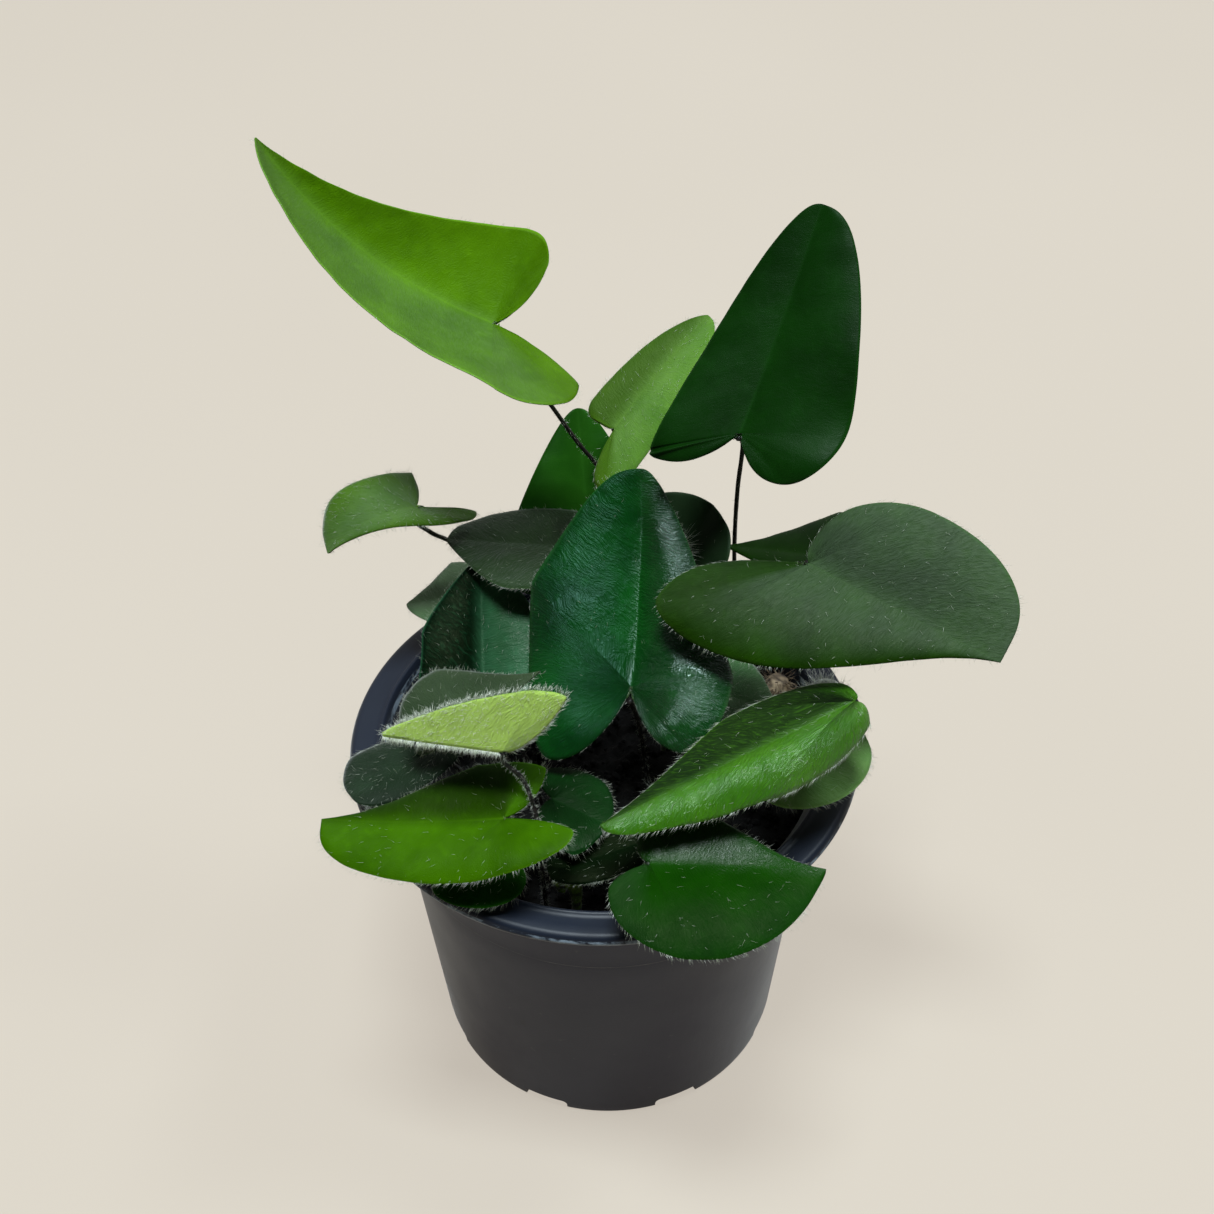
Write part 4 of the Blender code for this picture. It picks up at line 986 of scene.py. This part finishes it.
def rib_hairs(hairs, points, density, length):
    """Hairs along the outside of a folded midrib."""
    middle = points.shape[1] // 2
    line = points[:, middle]
    run = distances(line)
    at = hairs.draw.uniform(0, run[-1], int(density * run[-1]))
    inward = unit(points[:, middle + 3] - line) + unit(points[:, middle - 3] - line)
    away = unit(-sampled(at, run, inward))
    roots = sampled(at, run, line) + away * BLADE_THICKNESS
    hairs.add(roots, away + hairs.draw.normal(size=away.shape) * 0.35, length, 0.040, 0.6)


def build_fronds(speckles, wool):
    surface = make_leaf_surface_group()
    edge_bright = leaf_material("leaf_edge_bright", surface, (86, 140, 24), (120, 170, 50),
                                (130, 176, 66), 0.2, FINISHES["satin"])
    edge_dark = leaf_material("leaf_edge_dark", surface, (16, 48, 12), (36, 74, 26),
                              (48, 84, 36), 0.2, FINISHES["smooth"])
    stalk_finish = speckled_material("wiry_stalk", speckles, (9, 8, 8), (48, 38, 32), (0.28, 0.6),
                                     bump=0.6, Scale=1400.0, Detail=3.0, Low=0.45, High=0.75)
    silver = speckled_material("silver_hairs", speckles, (176, 184, 150), (236, 240, 228),
                               (0.3, 0.3), sheen=0.3, Scale=900.0)
    form = hair_form()
    for number, (name, own) in enumerate(FRONDS.items()):
        frond = {**USUAL, **own}
        fresh, under = frond["fresh"], frond["under"]
        kind = FINISHES[frond["finish"]]
        silky = frond["finish"] == "silky"
        rib = [min(255, c * 1.2 + 16) for c in fresh]
        upper = leaf_material("leaf_top_" + name, surface, frond["deep"], fresh, rib,
                              frond["streak"], kind, frond)
        below = leaf_material("leaf_under_" + name, surface, [c * 0.84 for c in under], under,
                              [c * 0.8 for c in under], 1.0, FINISHES["velvet"])
        bright = frond["slot"] in ("leaf_bright", "leaf_young")
        points = build_leaf(name, frond, upper, below, edge_bright if bright else edge_dark)
        path, radii = build_stem(name, frond, stalk_finish)
        on_face, on_edge, on_stalk = frond["hairs"]
        hairs = Hairs(100 + number)
        surface_hairs(hairs, points, on_face, kind, 1, frond["sinus"], 0.3)
        surface_hairs(hairs, points, on_face, kind, -1, frond["sinus"], 0.9 if silky else 0.3)
        fringe_hairs(hairs, points, blade_axes(frond)[2], on_edge, kind)
        if frond["slot"] == "leaf_young":
            rib_hairs(hairs, points, 26.0, 1.6)
        tube_hairs(hairs, path, radii, on_stalk * 1.6, 0.9, 0.024)
        hairs.build("hairs_" + name, wool if silky else silver, form)


def crozier_path(crozier):
    """Path and radii of a young frond: a stem up to its last place, then most of a turn."""
    x, y = crozier["path"][0]
    points = [Vector((x, y, 73))] + [Vector(p) for p in crozier["path"][1:]]
    path = [Vector((x, y, STALK_FOOT))] + spline(points, 5)
    stem = len(path)
    aim = Vector((*crozier["toward"], 0)).normalized()
    radius = crozier["roll"]
    hub = path[-1] + aim * radius
    for i in range(1, 26):
        angle = math.radians(10.5) * i
        reach = radius * (1 - 0.018 * i)
        path.append(hub - aim * reach * math.cos(angle) + Vector((0, 0, reach * math.sin(angle))))
    foot, end = crozier["foot"], crozier["end"]
    radii = [foot + (end - foot) * min(1.0, i / stem) for i in range(len(path))]
    for i in range(1, 14):
        radii[-i] = min(radii[-i], end * (0.25 + 0.055 * i))
    return path, radii


def build_croziers(speckles, wool):
    form = hair_form()
    for number, (name, crozier) in enumerate(CROZIERS.items()):
        path, radii = crozier_path(crozier)
        colour = crozier["colour"]
        skin = speckled_material("crozier_skin_" + name, speckles, [c * 0.55 for c in colour],
                                 colour, (0.6, 0.6), sheen=0.4, bump=0.5, Scale=700.0, Detail=3.0)
        body = from_bmesh("crozier_body_" + name, sweep(path, radii, 12), (skin,))
        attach(body, BODY)
        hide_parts("crozier_" + name)
        hairs = Hairs(300 + number)
        density, length = crozier["hairs"]
        tube_hairs(hairs, path, radii, density * 3.5, length, 0.034, 0.15)
        hairs.build("crozier_hairs_" + name, wool, form)


def build_rootstock(speckles):
    finish = speckled_material("rootstock_chaff", speckles, (46, 34, 26), (168, 146, 116),
                               (0.6, 0.6))
    path = spline([Vector(p[:3]) for p in ROOTSTOCK], 5)
    radii = list(np.interp(np.linspace(0, 1, len(path)), np.linspace(0, 1, len(ROOTSTOCK)),
                           [p[3] for p in ROOTSTOCK]))
    core = from_bmesh("rootstock_core", sweep(path, radii, 20), (finish,))
    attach(core, BODY)
    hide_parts("rootstock")
    scales = Hairs(500)
    tube_hairs(scales, path, radii, 26, 3.4, 0.22, 0.35)
    scales.build("rootstock_scales", finish, hair_form(flat=0.25))


def spun(name, profile, steps, finish):
    """A closed turned piece: the profile, (radius, height) in mm, starts and ends on the axis."""
    bm = bmesh.new()
    verts = [bm.verts.new((r * MM, 0, z * MM)) for r, z in profile]
    edges = [bm.edges.new(pair) for pair in zip(verts, verts[1:])]
    bmesh.ops.spin(bm, geom=verts + edges, cent=(0, 0, 0), axis=(0, 0, 1), angle=math.tau,
                   steps=steps, use_merge=True)
    bmesh.ops.remove_doubles(bm, verts=bm.verts, dist=0.00001)
    bmesh.ops.recalc_face_normals(bm, faces=bm.faces)
    return from_bmesh(name, bm, (finish,))


def wall_radius(z):
    return BASE_RADIUS + (WALL_TOP_RADIUS - BASE_RADIUS) * z / (RIM_HEIGHT - RIM_DEPTH)


def arc(centre, radius, start, stop, count):
    """Points of an arc in the profile plane, angles in degrees."""
    turn = np.radians(np.linspace(start, stop, count))
    return [(centre[0] + radius * math.cos(a), centre[1] + radius * math.sin(a)) for a in turn]


def build_pot():
    collar = RIM_HEIGHT - COLLAR_DROP
    lip = RIM_RADIUS
    top = RIM_HEIGHT
    profile = [(0, 0), (BASE_RADIUS - 2.2, 0)]
    profile += arc((BASE_RADIUS - 1.3, 1.3), 1.3, -90, 0, 6)
    for z in np.linspace(3, collar - 1, 14):
        profile.append((wall_radius(z) - 0.1, z))
    profile += [(wall_radius(collar) - 0.2, collar), (wall_radius(collar) + 0.25, collar + 0.4)]
    for z in np.linspace(collar + 2, top - 5.5, 6):
        profile.append((wall_radius(z) + 0.1, z))
    profile += arc((WALL_TOP_RADIUS + 1.9, top - 4.3), 1.9, 180, 90, 5)
    profile += [(lip - 2.6, top - 2.5)]
    profile += arc((lip - 1.3, top - 2.1), 1.25, -110, -8, 6)
    profile += [(lip + 0.12, top - 1.95), (lip + 0.12, top - 1.7)]
    profile += arc((lip - 1.5, top - 1.75), 1.5, 10, 84, 7)
    profile += [(lip - 3.2, top - 0.32), (lip - 4.6, top - 0.5), (lip - 5.3, top - 0.42)]
    profile += arc((lip - 6.0, top - 0.5), 0.52, 40, 150, 5)
    profile += [(lip - 6.9, top - 1.2), (lip - 7.4, top - 2.6)]
    profile += [(WALL_TOP_RADIUS - WALL, top - 5.5), (wall_radius(2) - WALL, 2.2),
                (wall_radius(2) - WALL - 0.8, 1.5), (0, 1.5)]
    pot = spun("pot_shell", profile, 180, pot_material())
    cutters = bmesh.new()
    for i in range(NOTCHES):
        turn = Matrix.Rotation(math.tau * (i + 0.5) / NOTCHES, 4, "Z")
        place = turn @ Matrix.Translation(((BASE_RADIUS + 1 - NOTCH_DEPTH / 2) * MM, 0, 0))
        size = Matrix.Diagonal(((NOTCH_DEPTH + 2) * MM, NOTCH_WIDTH * MM, 2 * NOTCH_HEIGHT * MM, 1))
        bmesh.ops.create_cube(cutters, size=1.0, matrix=place @ size)
    tops = [e for e in cutters.edges if min(v.co.z for v in e.verts) > 0]
    bmesh.ops.bevel(cutters, geom=tops, offset=1.2 * MM, affect="EDGES", segments=4, profile=0.5,
                    material=-1)
    cutter = from_bmesh("pot_notch_cutter", cutters, (), smooth=False)
    boolean = pot.modifiers.new("notches", "BOOLEAN")
    boolean.operation = "DIFFERENCE"
    boolean.solver = "EXACT"
    boolean.object = cutter
    depsgraph = bpy.context.evaluated_depsgraph_get()
    mesh = bpy.data.meshes.new_from_object(pot.evaluated_get(depsgraph))
    pot.modifiers.clear()
    pot.data = mesh
    bpy.data.objects.remove(cutter)
    mesh.set_sharp_from_angle(angle=math.radians(40))
    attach(pot, BODY)
    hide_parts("pot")


def build_soil(speckles):
    # Soil colours: its own dark brown, darkened near to black as painted shade
    finish = speckled_material("potting_soil", speckles, (3, 3, 3), (18, 15, 12), (0.9, 0.9),
                               bump=0.9, depth=0.001, Scale=420.0, Detail=5.0, Ragged=0.7,
                               Low=0.4, High=0.75)
    edge = wall_radius(SOIL_TOP) - WALL - 0.3
    profile = [(0, 1.8), (wall_radius(2) - WALL - 1.6, 1.8), (wall_radius(3) - WALL - 0.3, 3.2)]
    profile += [(edge, SOIL_TOP - 1.5)]
    profile += [(r, SOIL_TOP) for r in np.linspace(edge - 0.4, 0, 46)]
    ball = spun("soil_ball", profile, 150, finish)
    for vertex in ball.data.vertices:
        place = vertex.co / MM
        if place.z > SOIL_TOP - 1:
            heap = noise.noise(place * 0.16) * 1.1
            lumps = noise.noise(place * 0.55 + Vector((7, 0, 0))) * 0.9
            fine = noise.noise(place * 1.6) * 0.45
            inward = min(1.0, (edge - math.hypot(place.x, place.y)) / 4)
            vertex.co.z += (heap * inward + lumps + fine + 0.3) * MM
    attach(ball, BODY)
    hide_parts("soil")
    draw = np.random.default_rng(900)
    crumbs = bmesh.new()
    for _ in range(CRUMBS):
        radius = edge * math.sqrt(draw.uniform(0, 0.95))
        angle = draw.uniform(0, math.tau)
        size = 0.35 + 0.9 * draw.uniform() ** 2
        spot = Vector((radius * math.cos(angle), radius * math.sin(angle),
                       SOIL_TOP + 0.6 + draw.uniform(-0.2, 0.5)))
        turn = Matrix.Rotation(draw.uniform(0, math.tau), 4, Vector(draw.normal(size=3)))
        form = Matrix.Diagonal((size * MM, size * draw.uniform(0.6, 1) * MM,
                                size * draw.uniform(0.5, 0.9) * MM, 1))
        bmesh.ops.create_icosphere(crumbs, subdivisions=1, radius=1.0,
                                   matrix=Matrix.Translation(spot * MM) @ turn @ form)
    pile = from_bmesh("soil_crumbs", crumbs, (finish,), smooth=False)
    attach(pile, BODY)


def softbox(name, place, width, depth, energy):
    light = bpy.data.lights.new(name, "AREA")
    light.shape = "RECTANGLE"
    light.size = width
    light.size_y = depth
    light.energy = energy
    light.color = (0.84, 0.95, 1.0)
    lamp = link(bpy.data.objects.new(name, light))
    lamp.location = place
    lamp.rotation_euler = Vector(place).to_track_quat("Z", "Y").to_euler()


def build_studio():
    floor_mesh = bmesh.new()
    bmesh.ops.create_grid(floor_mesh, x_segments=1, y_segments=1, size=4.0)
    floor = from_bmesh("studio_floor", floor_mesh, (floor_material(),))
    world = bpy.data.worlds.new("studio")
    world.use_nodes = True
    tree = world.node_tree
    background = tree.nodes["Background"]
    background.inputs["Color"].default_value = (0.97, 0.98, 1.0, 1.0)
    toward = add_node(tree, "ShaderNodeTexCoord").outputs["Generated"]
    behind = add_node(tree, "ShaderNodeSeparateXYZ", {0: toward}).outputs[1]
    tree.links.new(spread(tree, behind, 0.1, 0.75, 0.03, 0.48), background.inputs["Strength"])
    bpy.context.scene.world = world
    softbox("overhead_window", (-0.10, -0.30, 2.25), 0.66, 0.42, 48.0)
    softbox("right_window", (0.95, 0.15, 2.0), 0.55, 0.40, 14.0)
    bpy.context.scene.view_settings.view_transform = "Standard"


build_camera()
SPECKLES = make_speckles_group()
WOOL = speckled_material("white_wool", SPECKLES, (226, 232, 206), (252, 253, 244), (0.3, 0.3),
                         sheen=0.3, Scale=900.0)
build_fronds(SPECKLES, WOOL)
build_croziers(SPECKLES, WOOL)
build_rootstock(SPECKLES)
build_pot()
build_soil(SPECKLES)
build_studio()
